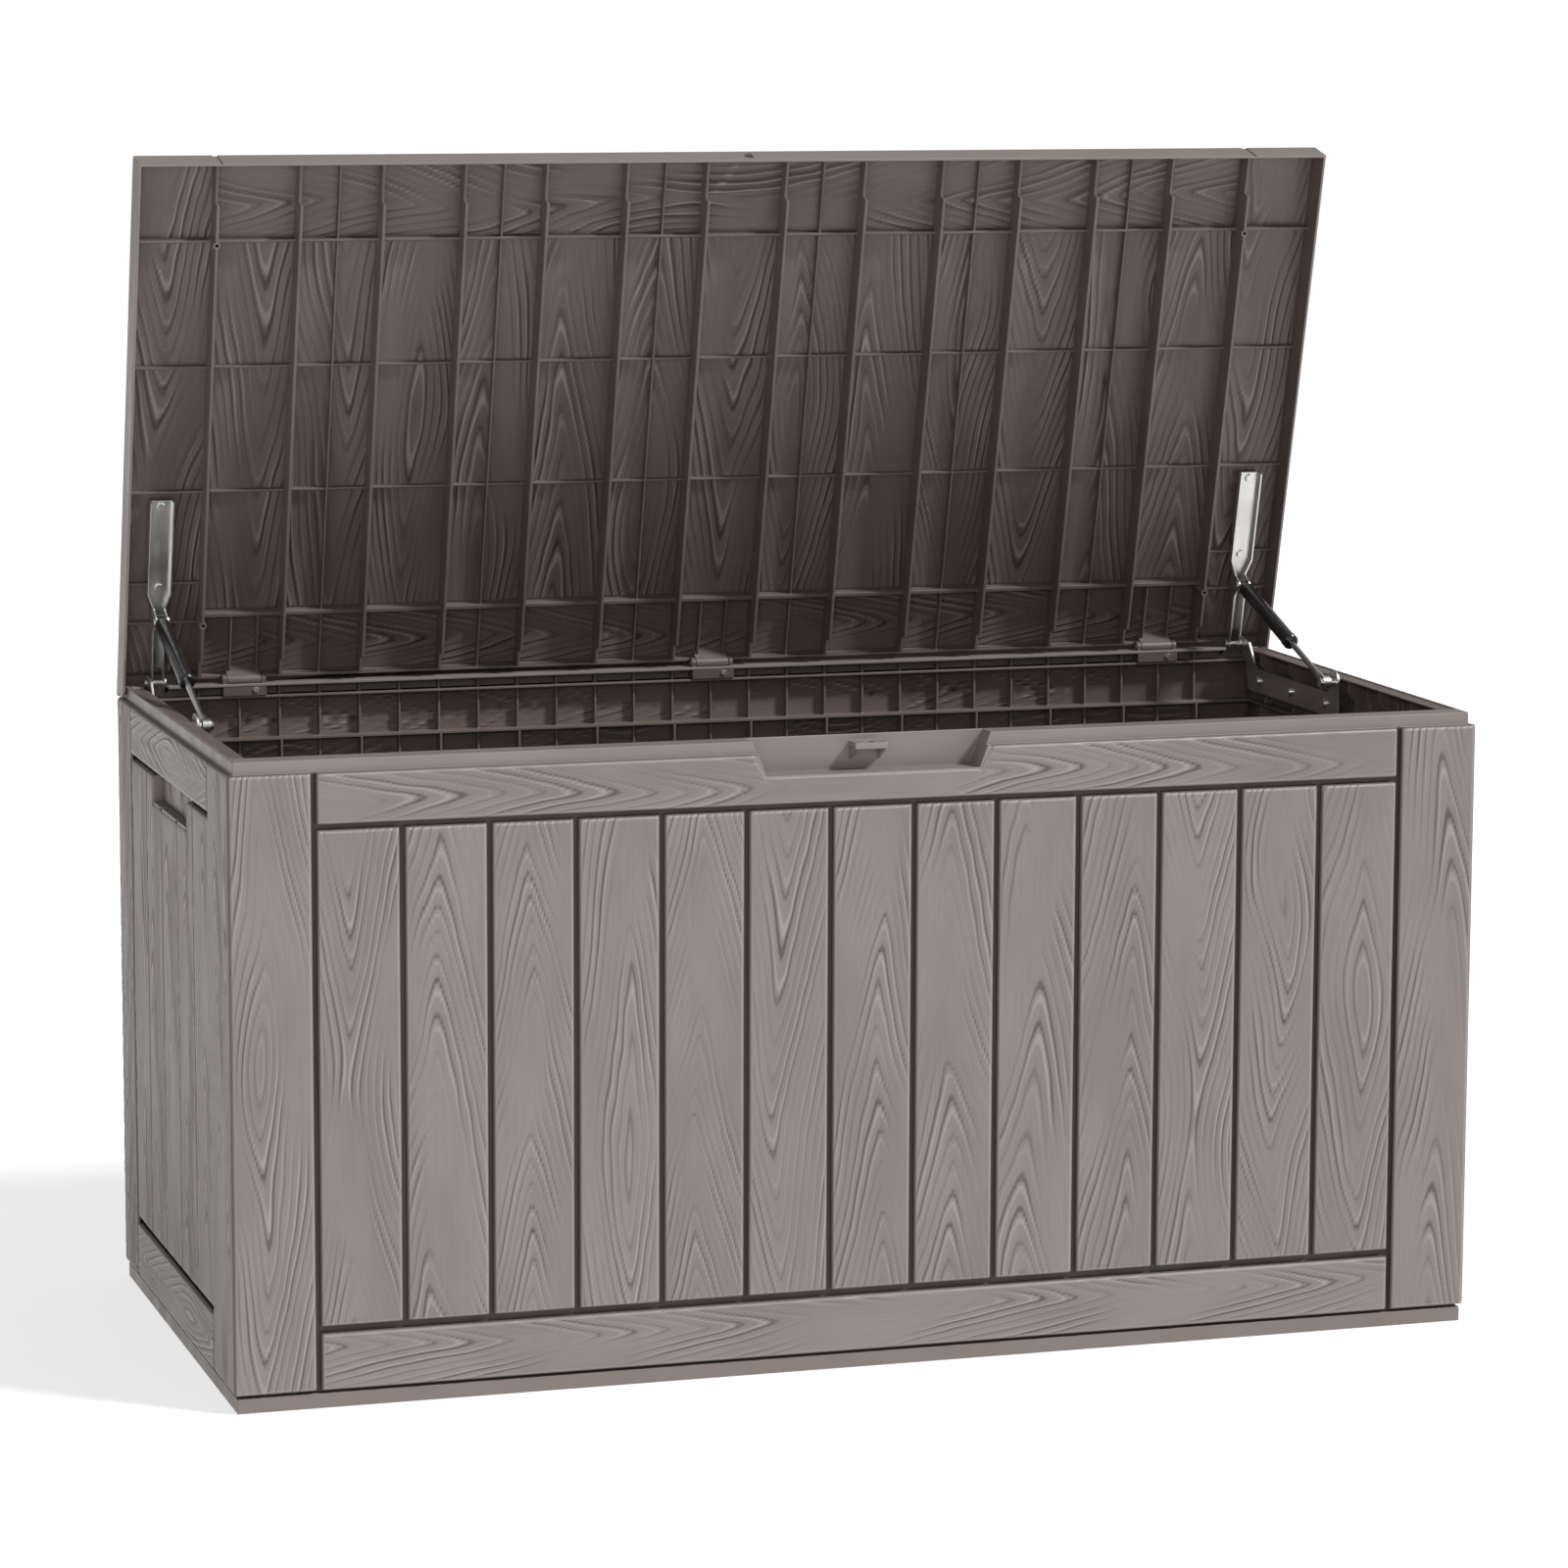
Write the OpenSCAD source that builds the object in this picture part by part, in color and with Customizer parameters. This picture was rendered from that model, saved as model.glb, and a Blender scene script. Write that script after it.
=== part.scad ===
// Deck storage box: resin wall panels on a floor tray, a ribbed lid on three rear
// hinge blocks, and a gas strut with a steel arm and bracket on each side.
// Millimetres, +Z up, origin on the floor under the middle of the box body.
// The box is drawn with its lid open; the front faces -Y.

/* [Body] */
// Width over the rim of the box, left to right
rim_w = 1206; // [1100:1:1300]
// Depth over the rim of the box, front to back
rim_d = 545; // [520:1:620]
// Height of the rim above the floor
rim_h = 600; // [560:1:680]
// Width of the flat ledge along the front and back of the rim
ledge_d = 25; // [22:0.5:30]
// Width of the flat ledge along both ends of the rim
ledge_w = 18; // [16:0.5:19]
// Height of the plain rim band that the lid skirt covers
band_h = 12; // [12:0.5:16]
// How far the boards stand out from the rim band
board_out = 5; // [4:0.5:6]
// Depth of the grooves between boards
groove_d = 6; // [4:0.5:7]
// Width of the grooves between boards
groove_w = 5; // [3:0.5:7]
// Thickness of the panel skins and of the rim ledge
skin = 3; // [2.5:0.1:4]
// Thickness of the stiffening ribs behind the skins
rib = 2.5; // [2:0.1:4]

/* [Boards] */
// Number of planks across the front and across the lid
planks = 13; // [9:2:15]
// Plank pitch across the front, back and lid
plank_pitch = 81.5; // [70:0.5:82]
// Number of planks on each end panel
side_planks = 5; // [3:1:6]
// Plank pitch on the end panels
side_pitch = 77; // [60:0.5:78]
// Height of the underside of the top rails
rail_low = 541; // [500:1:560]
// Height of the top of the bottom rails
base_rail = 70; // [50:1:110]
// Height of the recessed plinth under the boards
plinth_h = 14; // [10:1:30]

/* [Grips and latch] */
// Length of the hand grip pocket in each end panel
grip_l = 170; // [120:1:200]
// Height of the hand grip pocket
grip_h = 31; // [25:1:40]
// Width of the finger recess in the front rim, at its top
recess_w = 232; // [160:1:300]
// Height of the finger recess
recess_h = 32.5; // [28:0.5:40]
// Width of the padlock tab in the finger recess
tab_w = 32; // [24:1:50]
// Radius of the padlock hole in the tab
tab_hole_r = 4.5; // [3:0.1:5.5]

/* [Lid] */
// Opening angle at which the lid is drawn
lid_open = 76; // [60:0.5:76]
// Distance of the hinge line in front of the back of the rim
hinge_in = 16; // [14:0.5:17]
// Height of the hinge line above the rim
hinge_up = 3; // [3:0.1:5]
// Height of the lid top above the hinge line
lid_top = 19; // [19:0.5:26]
// Thickness of the lid skin
lid_skin = 3.8; // [3:0.1:3.8]
// Depth of the lid skirt below the hinge line
skirt_drop = 13.6; // [10:0.1:13.6]
// How far the main lid ribs reach below the hinge line
deep_rib = 10.8; // [6:0.1:14]
// Distance of the outer hinge blocks from the middle of the box
hinge_x = 485; // [440:1:489]
// Radius of the three hinge pins
pin_r = 2.5; // [2:0.1:3]
// Radius of the lid knuckles
knuckle_r = 6; // [5:0.1:6.2]

/* [Gas struts] */
// Distance of the strut centre plane from the middle of the box
strut_x = 572; // [560:0.5:572]
// Distance from the hinge line to the upper strut pin along the lid
upper_reach = 69; // [60:1:75]
// Depth of the upper strut pin below the hinge line when the lid is shut
upper_drop = 10; // [9:0.5:12]
// Distance from the hinge line forward to the lower strut pin
lower_reach = 250; // [235:1:260]
// Depth of the lower strut pin below the hinge line
lower_drop = 9; // [8:0.5:12]
// Radius of the strut cylinder
cyl_r = 7.5; // [6:0.1:7.5]
// Radius of the strut rod
rod_r = 3; // [2.5:0.1:4]
// Running clearance of the pins, rivets and rods, on the radius
run_fit = 0.05; // [0.02:0.01:0.1]

/* [Hidden] */
$fn = 48;
hw = rim_w / 2;
hd = rim_d / 2;
face = board_out;
stand = 0.3;
rim_step = 1.2;
lip_t = 2.2;
edge = 3.4;
in_x = hw - ledge_w;
in_y = hd - ledge_d;
board_top = rim_h - band_h;
skin_x = hw + board_out - groove_d;
skin_y = hd + board_out - groove_d;
field = planks * plank_pitch / 2;
ret_y = -hd - board_out + 34;
side_front = -hd - board_out + 34.5;
side_lo = -hd - board_out + 101.5;
side_hi = side_lo + side_planks * side_pitch;
grip_mid = 9;
back_groove = 4;
hinge_y = hd - hinge_in;
hinge_z = rim_h + hinge_up;
under = lid_top - lid_skin;
lid_front = -(hinge_y + hd + board_out + 0.5);
lid_tail = hinge_in + 2;
lid_hw = hw + board_out + 0.3;
skirt_t = 2.6;
rail_f = lid_front + 82.5;
rail_r = -68;
cross_1 = rail_f + (rail_r - rail_f) / 3;
cross_2 = rail_f + 2 * (rail_r - rail_f) / 3;
knuckle_w = 34;
lug_t = 4.5;
block_w = knuckle_w + 2 * (lug_t + 0.4);
lug_room = lug_t / 2 + 1.2;
lug_mid = knuckle_w / 2 + lug_room;
tab_y = -hd + 1.5;
tab_top = rim_h - 6;
tab_t = 6;
recess_back = in_y + 2.5;
arm_gap = 9;
arm_t = 2;
arm_half = arm_gap / 2 + arm_t;
wide_half = 12;
web_top = 7;
arm_top = 189;
arm_wide = 93;
arm_neck = 78;
screw_a = [98.5, 182.5];
plate_in = strut_x + 8.5;
plate_t = 2.5;
plate_out = plate_in + plate_t;
low_y = hinge_y - lower_reach;
low_z = hinge_z - lower_drop;
bar_lo = rim_h - 42.5;
bar_hi = rim_h - 18;
bolt_z = rim_h - 30.5;
bolt_y = [hinge_y - 52.5, hinge_y - 138.5, hinge_y - 229];
up_y = hinge_y - upper_reach * cos(lid_open) - upper_drop * sin(lid_open);
up_z = hinge_z + upper_reach * sin(lid_open) - upper_drop * cos(lid_open);
strut_len = sqrt(pow(up_y - low_y, 2) + pow(up_z - low_z, 2));
strut_tilt = atan2(up_z - low_z, up_y - low_y);
shut_len = lower_reach - upper_reach;
cyl_from = 9;
cyl_to = 141;
cyl_wall = 1.5;
gland_l = 9;
piston_at = 121;
resin = [0.53, 0.49, 0.47];
resin_dark = [0.33, 0.3, 0.28];
steel = [0.75, 0.75, 0.76];
black = [0.05, 0.05, 0.05];
chrome = [0.85, 0.86, 0.87];

// ---- small helpers ----

// Box between two corners
module span(a, b) {
    translate(a)
        cube(b - a);
}

// Round bar along X between two stations
module bar_x(x0, x1, r) {
    translate([x0, 0, 0])
        rotate([0, 90, 0])
            cylinder(r = r, h = x1 - x0);
}

// Profile drawn in (Y, Z), extruded along X
module side_profile(x0, x1) {
    translate([x0, 0, 0])
        rotate([90, 0, 90])
            linear_extrude(height = x1 - x0)
                children();
}

// Profile drawn in (X, Z), extruded along Y
module front_profile(y0, y1) {
    translate([0, y1, 0])
        rotate([90, 0, 0])
            linear_extrude(height = y1 - y0)
                children();
}

// Rectangle with cut corners
module cut_rect(a, b, c) {
    polygon([
        [a[0] + c, a[1]], [b[0] - c, a[1]], [b[0], a[1] + c], [b[0], b[1] - c],
        [b[0] - c, b[1]], [a[0] + c, b[1]], [a[0], b[1] - c], [a[0], a[1] + c]
    ]);
}

// Board lying in the XZ plane, its face towards -Y, long edges cut back
module board(x0, x1, z0, z1, y_face, y_root, c = 2) {
    intersection() {
        linear_extrude(height = z1)
            polygon([
                [x0, y_root], [x0, y_face + c], [x0 + c, y_face],
                [x1 - c, y_face], [x1, y_face + c], [x1, y_root]
            ]);
        side_profile(x0, x1)
            polygon([
                [y_root, z0], [y_face + c, z0], [y_face, z0 + c],
                [y_face, z1 - c], [y_face + c, z1], [y_root, z1]
            ]);
    }
}

// Rails, stiles and planks of one wall face; stiles run from s0 to x0 and x1 to s1
module boards(s0, x0, x1, s1, n, y_face, y_root) {
    pitch = (x1 - x0) / n;
    g = groove_w / 2;
    low = plinth_h + 3;
    for (i = [0 : n - 1])
        board(x0 + i * pitch + g, x0 + (i + 1) * pitch - g,
            base_rail + g + 4, rail_low - g - 3, y_face + 1, y_root);
    board(x0 + g, x1 - g, rail_low, board_top, y_face, y_root);
    board(x0 + g, x1 - g, low, base_rail, y_face, y_root);
    board(s0, x0 - g, low, board_top, y_face, y_root);
    board(x1 + g, s1, low, board_top, y_face, y_root);
}

// ---- body panels ----

// Floor tray: plinth ring, floor plate and a grid of ribs under it
module floor_panel() {
    px = hw + face - 2;
    y0 = -hd - face + 2;
    y1 = hd - 2;
    color(resin_dark)
        union() {
            difference() {
                span([-px, y0, 0], [px, y1, plinth_h]);
                span([-px + 4, y0 + 4, -1], [px - 4, y1 - 4, plinth_h - 4]);
            }
            span([-in_x + 1, -in_y + 1, plinth_h - 1], [in_x - 1, in_y - 1, plinth_h + 4]);
            for (x = [-500 : 125 : 500])
                span([x - 1.5, y0 + 3, 2], [x + 1.5, y1 - 3, plinth_h - 3]);
            for (y = [-160 : 160 : 160])
                span([-px + 3, y - 1.5, 2], [px - 3, y + 1.5, plinth_h - 3]);
        }
}

// Outline of the finger recess in the front rim, grown by g
module recess_outline(g) {
    low = rim_h - recess_h;
    polygon([
        [-recess_w / 2 + 12 - g, low - g], [recess_w / 2 - 12 + g, low - g],
        [recess_w / 2 + g, rim_h + g], [-recess_w / 2 - g, rim_h + g]
    ]);
}

// Front wall: boards, rim channel, corner returns, finger recess and padlock tab
module front_panel() {
    z0 = plinth_h + stand;
    color(resin)
        union() {
            difference() {
                union() {
                    span([-hw, -skin_y, z0], [hw, -skin_y + skin, rim_h - 1]);
                    boards(-hw - face, -field, field, hw + face, planks, -hd - face, -skin_y);
                    span([-hw, -hd, board_top], [hw, -in_y, rim_h]);
                    for (s = [-1, 1])
                        span([min(s * (hw + face - 2), s * skin_x - s * skin), -hd - 1, z0 + 3],
                            [max(s * (hw + face - 2), s * skin_x - s * skin), ret_y, board_top]);
                    for (s = [-1, 1])
                        span([min(s * (hw + face), s * (hw - 2)), -hd - 1, z0 + 3],
                            [max(s * (hw + face), s * (hw - 2)), ret_y, board_top]);
                    for (i = [0 : planks])
                        span([-field + i * plank_pitch - rib / 2, -skin_y, z0],
                            [-field + i * plank_pitch + rib / 2, -in_y - 2.5, rim_h - 1]);
                    for (z = [base_rail, rim_h / 3, 2 * rim_h / 3, rail_low])
                        span([-hw + 6, -skin_y, z - rib / 2], [hw - 6, -in_y - 6, z + rib / 2]);
                }
                span([-hw + skin, -hd + skin, board_top - 1], [hw - skin, -in_y - rib, rim_h - skin]);
                front_profile(-hd - 20, -in_y + 1)
                    recess_outline(2.4);
            }
            for (i = [0 : planks])
                if (abs(-field + i * plank_pitch) > recess_w / 2 + 4)
                    span([-field + i * plank_pitch - rib / 2, -hd + 1, board_top - 2],
                        [-field + i * plank_pitch + rib / 2, -in_y - 1, rim_h - 1]);
            difference() {
                union() {
                    front_profile(-hd, -in_y)
                        recess_outline(2.5);
                    intersection() {
                        front_profile(-hd - face, -in_y)
                            recess_outline(2.5);
                        span([-hw, -hd - 20, 0], [hw, 0, board_top]);
                    }
                }
                front_profile(-hd - 20, -recess_back)
                    recess_outline(0);
                span([-hw, -hd - 20, rim_h], [hw, 0, rim_h + 20]);
            }
            difference() {
                union() {
                    span([-tab_w / 2, tab_y, tab_top - tab_t], [tab_w / 2, -recess_back + 1, tab_top]);
                    for (s = [-1, 1])
                        side_profile(s * (tab_w / 2 - 2) - 1.5, s * (tab_w / 2 - 2) + 1.5)
                            polygon([
                                [tab_y + 4, tab_top - tab_t + 1], [-recess_back + 1, tab_top - tab_t - 12],
                                [-recess_back + 1, tab_top - tab_t + 1]
                            ]);
                }
                translate([0, -hd + 10.5, tab_top - tab_t - 1])
                    cylinder(r = tab_hole_r, h = tab_t + 2);
            }
        }
}

// Back wall: flush boards outside, rib field, shelf and ledge inside
module back_panel() {
    bx = skin_x - skin - stand;
    z0 = plinth_h + stand;
    y_in = hd - back_groove - skin;
    color(resin)
        difference() {
            union() {
                span([-bx, y_in, z0], [bx, y_in + skin, rim_h - 1]);
                mirror([0, 1, 0])
                    boards(-bx, -field, field, bx, planks, -hd, -hd + back_groove);
                side_profile(-bx, bx)
                    polygon([
                        [in_y, rim_h - skin], [in_y, rim_h], [hd - 2, rim_h], [hd, rim_h - 2],
                        [hd, board_top - 1], [y_in, board_top - 1], [y_in, rim_h - skin]
                    ]);
                for (i = [-planks : planks])
                    span([i * plank_pitch / 2 - rib / 2, y_in - 9, z0],
                        [i * plank_pitch / 2 + rib / 2, y_in + 1, rim_h - 1]);
                for (i = [-planks : 2 : planks])
                    span([i * plank_pitch / 2 - rib / 2, in_y + 1, z0 + 5],
                        [i * plank_pitch / 2 + rib / 2, y_in, rim_h - 58]);
                span([-bx, in_y + 2, rim_h - 15], [bx, y_in + 1, rim_h - 12.5]);
                span([-bx, in_y + 1, rim_h - 58], [bx, y_in + 1, rim_h - 55]);
                for (z = [base_rail, rim_h / 3, 2 * rim_h / 3])
                    span([-bx, in_y + 3, z - rib / 2], [bx, y_in + 1, z + rib / 2]);
            }
            for (x = [-hinge_x, 0, hinge_x]) {
                span([x - block_w / 2 - 0.2, in_y - 1, rim_h - 12.6],
                    [x + block_w / 2 + 0.2, y_in - 0.2, rim_h - skin]);
                span([x - block_w / 2 - 0.2, in_y + lip_t, rim_h - skin - 1],
                    [x + block_w / 2 + 0.2, y_in - 0.2, rim_h + 1]);
            }
            for (s = [-1, 1])
                span([s * (strut_x + 2) - 12, in_y - 1, rim_h - 10],
                    [s * (strut_x + 2) + 12, hinge_y + 9.5, rim_h + 1]);
            for (x = [-hinge_x, 0, hinge_x])
                translate([x + 11, y_in - 10, rim_h - 6.5])
                    rotate([-90, 0, 0])
                        cylinder(r = 1.5, h = 11);
        }
}

// Right end wall; the left one is its mirror image
module end_panel() {
    z0 = plinth_h + stand;
    y1 = hd;
    color(resin)
        difference() {
            union() {
                span([skin_x - skin, side_front, z0], [skin_x, y1, board_top]);
                rotate([0, 0, 90])
                    boards(side_front, side_lo, side_hi, y1, side_planks, -hw - face, -skin_x);
                side_profile(hw - skin, hw)
                    polygon([
                        [-in_y + stand, board_top + stand], [-in_y + stand, rim_h],
                        [y1 - 2, rim_h], [y1, rim_h - 2], [y1, board_top - 1],
                        [side_front, board_top - 1], [side_front, board_top + stand]
                    ]);
                span([in_x, -in_y + stand, rim_h - skin], [hw, in_y - stand, rim_h - rim_step]);
                span([skin_x - skin, in_y - stand, rim_h - skin], [hw, y1 - 2, rim_h]);
                for (i = [0 : side_planks])
                    side_rib(side_lo + i * side_pitch, z0);
                span([in_x, side_front + 8, rim_h - 57], [skin_x - 1, in_y - 6, rim_h - 54.5]);
                for (z = [base_rail, rim_h / 3, 2 * rim_h / 3])
                    span([in_x + 4, side_front + 8, z - rib / 2], [skin_x - 1, in_y - 6, z + rib / 2]);
                span([in_x, grip_mid - grip_l / 2 - 2.5, rail_low - grip_h - 2.5],
                    [skin_x, grip_mid + grip_l / 2 + 2.5, rail_low + 2.5]);
                for (y = bolt_y)
                    translate([0, y, bolt_z])
                        bar_x(plate_out, skin_x - 1, 8);
            }
            span([in_x + 2.5, grip_mid - grip_l / 2, rail_low - grip_h],
                [hw + face + 2, grip_mid + grip_l / 2, rail_low]);
            for (y = bolt_y)
                translate([0, y, bolt_z])
                    bar_x(plate_out - 1, plate_out + 11, 2);
        }
}

// Upright rib of an end wall with a slanted shoulder under the rim pocket
module side_rib(y, z0) {
    translate([0, y + rib / 2, 0])
        rotate([90, 0, 0])
            linear_extrude(height = rib)
                polygon([
                    [skin_x - 1, z0], [in_x, z0 + 6], [in_x, rim_h - 62], [in_x + 8, rim_h - 46],
                    [in_x + 8, rim_h - 24], [in_x, rim_h - 14], [in_x, rim_h - 2], [skin_x - 1, rim_h - 2]
                ]);
}

module left_panel() {
    mirror([1, 0, 0])
        end_panel();
}

module right_panel() {
    end_panel();
}

// ---- hinges ----

// Hinge block let into the back wall, its two lugs carrying the pin
module hinge_block(x) {
    h = block_w / 2;
    y0 = in_y + 0.3;
    y1 = hd - back_groove - skin - 0.5;
    color(resin_dark)
        translate([x, 0, 0])
            difference() {
                union() {
                    span([-h, y0, rim_h - 12], [h, y1, rim_h]);
                    for (s = [-1, 1])
                        translate([s * (h - lug_t / 2), hinge_y, hinge_z])
                            bar_x(-lug_t / 2, lug_t / 2, knuckle_r);
                    for (s = [-1, 1])
                        span([s * (h - lug_t / 2) - lug_t / 2, hinge_y - knuckle_r, rim_h - 1],
                            [s * (h - lug_t / 2) + lug_t / 2, hinge_y + knuckle_r, hinge_z]);
                }
                span([-h - 1, y0 - 1, rim_h - skin - 0.3], [h + 1, in_y + lip_t + 0.3, rim_h + 1]);
                translate([0, hinge_y, hinge_z])
                    bar_x(-knuckle_w / 2 - 0.4, knuckle_w / 2 + 0.4, knuckle_r + 0.5);
                span([-knuckle_w / 2 - 0.4, y0 - 1, hinge_z - 3.5],
                    [knuckle_w / 2 + 0.4, hinge_y, rim_h + 20]);
                translate([0, hinge_y, hinge_z])
                    bar_x(-h - 1, h + 1, pin_r);
                translate([11, y0 - 1, rim_h - 6.5])
                    rotate([-90, 0, 0])
                        cylinder(r = 1.6, h = y1 - y0 + 2);
            }
}

module hinge_block_left() {
    hinge_block(-hinge_x);
}

module hinge_block_middle() {
    hinge_block(0);
}

module hinge_block_right() {
    hinge_block(hinge_x);
}

// Small pan-head screws that hold the hinge blocks
module hinge_block_screws() {
    y0 = in_y + 0.3;
    color(steel)
        for (x = [-hinge_x, 0, hinge_x])
            translate([x + 11, y0, rim_h - 6.5])
                rotate([-90, 0, 0])
                    union() {
                        translate([0, 0, -1.6])
                            cylinder(r = 2.8, h = 1.6);
                        translate([0, 0, -0.5])
                            cylinder(r = 1.45, h = 19);
                    }
}

// One steel pin through each hinge block
module hinge_pins() {
    color(steel)
        for (x = [-hinge_x, 0, hinge_x])
            translate([x, hinge_y, hinge_z])
                bar_x(-block_w / 2 - 0.2, block_w / 2 + 0.2, pin_r);
}

// ---- lid, drawn shut about the hinge line and then swung open ----

module lid_frame() {
    translate([0, hinge_y, hinge_z])
        rotate([-lid_open, 0, 0])
            children();
}

// Grooves that part the lid top into a frame of boards and a field of planks
module lid_grooves() {
    g = groove_w / 2;
    d = 1.8;
    for (s = [-1, 1])
        front_profile(lid_front - 1, lid_tail + 1)
            polygon([
                [s * field - g, lid_top + 0.1], [s * field - g + 1.5, lid_top - d],
                [s * field + g - 1.5, lid_top - d], [s * field + g, lid_top + 0.1]
            ]);
    for (i = [1 : planks - 1])
        span([-field + i * plank_pitch - g, rail_f, lid_top - d],
            [-field + i * plank_pitch + g, rail_r, lid_top + 1]);
    for (a = [rail_f, rail_r])
        span([-field, a - g, lid_top - d], [field, a + g, lid_top + 1]);
    for (s = [-1, 1])
        span([s * field - g, lid_front - 1, -skirt_drop - 1], [s * field + g, lid_front + 1.2, lid_top + 1]);
}

// End skirt with its rounded rear end
module lid_end_skirt() {
    side_profile(lid_hw - skirt_t, lid_hw) {
        polygon([
            [lid_front, lid_top - edge], [lid_front + edge, lid_top], [lid_tail, lid_top],
            [lid_tail, 12.5], [11.4, 7.2], [0, 0], [0, -skirt_drop], [lid_front + 1, -skirt_drop],
            [lid_front, -skirt_drop + 1]
        ]);
        circle(r = skirt_drop);
    }
}

// Main lid rib: deep in the middle, cut back over the front and back ledges
module lid_main_rib(x, t) {
    side_profile(x - t / 2, x + t / 2)
        polygon([
            [lid_front + 2, under + 0.5], [lid_front + 2, -hinge_up + 1], [lid_front + 42, -hinge_up + 1],
            [lid_front + 43.5, -deep_rib], [-24, -deep_rib], [-22, -hinge_up + 1],
            [-4, -hinge_up + 1], [-4, under + 0.5]
        ]);
}

module lid_rib_x(a, x0, x1, low, t) {
    span([x0, a - t / 2, low], [x1, a + t / 2, under + 0.5]);
}

module lid_rib_y(x, a0, a1, low, t) {
    span([x - t / 2, a0, low], [x + t / 2, a1, under + 0.5]);
}

module lid_panel() {
    color(resin)
        lid_frame()
            difference() {
                union() {
                    side_profile(-lid_hw, lid_hw)
                        polygon([
                            [lid_front, lid_top - edge], [lid_front + edge, lid_top], [lid_tail, lid_top],
                            [lid_tail, under], [lid_front, under]
                        ]);
                    span([-lid_hw, lid_front, -skirt_drop], [lid_hw, lid_front + skirt_t, under + 1]);
                    lid_end_skirt();
                    mirror([1, 0, 0])
                        lid_end_skirt();
                    for (i = [0 : planks])
                        lid_main_rib(-field + i * plank_pitch, 3);
                    for (i = [1 : 2 : planks - 2])
                        lid_rib_y(-field + (i + 0.5) * plank_pitch, lid_front + 2, -3, 6, 2);
                    lid_rib_x(rail_f, -lid_hw + 1, lid_hw - 1, 5, 3);
                    lid_rib_x(cross_1, -lid_hw + 1, lid_hw - 1, 8, 2.5);
                    lid_rib_x(cross_2, -lid_hw + 1, lid_hw - 1, 8, 2.5);
                    lid_rib_x(rail_r, -field, field, 3, 4);
                    lid_rib_x(-1.6, -field - 20, field + 20, 5, 3.2);
                    for (s = [-1, 1])
                        for (a = [-101, -60])
                            lid_rib_x(a, min(s * field, s * (lid_hw - 1)), max(s * field, s * (lid_hw - 1)),
                                8, 2.5);
                    for (x = [-hinge_x, 0, hinge_x])
                        for (s = [-1, 1])
                            lid_rib_y(x + s * 13.5, rail_r, -3, 4, 2);
                    for (s = [-1, 1])
                        for (a = [rail_f, -62])
                            translate([s * field, a, -deep_rib])
                                cylinder(r = 3.8, h = under + deep_rib + 0.5);
                    for (s = [-1, 1])
                        span([s * strut_x - 10, -arm_top + 1, web_top], [s * strut_x + 10, -arm_wide + 1, under + 1]);
                    for (x = [-hinge_x, 0, hinge_x])
                        translate([x, 0, 0])
                            lid_knuckle();
                }
                lid_grooves();
                for (s = [-1, 1])
                    for (a = [rail_f, -62])
                        translate([s * field, a, -deep_rib - 1])
                            cylinder(r = 1.6, h = 22);
                for (s = [-1, 1])
                    for (a = screw_a)
                        translate([s * strut_x, -a, web_top - 1])
                            cylinder(r = 2, h = 8.6);
                for (x = [-hinge_x, 0, hinge_x])
                    for (s = [-1, 1])
                        span([x + s * lug_mid - lug_room, -9, -hinge_up - 9],
                            [x + s * lug_mid + lug_room, 8, knuckle_r + 0.9]);
                for (x = [-hinge_x, 0, hinge_x])
                    translate([x, 0, 0])
                        bar_x(-knuckle_w, knuckle_w, pin_r + run_fit);
                for (n = [-2, 7])
                    translate([0, lid_front - 1, n])
                        rotate([-90, 0, 0])
                            cylinder(r = 4.25, h = skirt_t + 2);
                span([-4.25, lid_front - 1, -2], [4.25, lid_front + skirt_t + 1, 7]);
            }
}

// Lid knuckle with the web that carries it
module lid_knuckle() {
    w = knuckle_w / 2;
    bar_x(-w, w, knuckle_r);
    side_profile(-w, w)
        polygon([[-knuckle_r, 0], [-knuckle_r - 6, under + 0.5], [2, under + 0.5], [2, 0]]);
}

// ---- right-hand strut hardware; the left set is its mirror image ----

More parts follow.
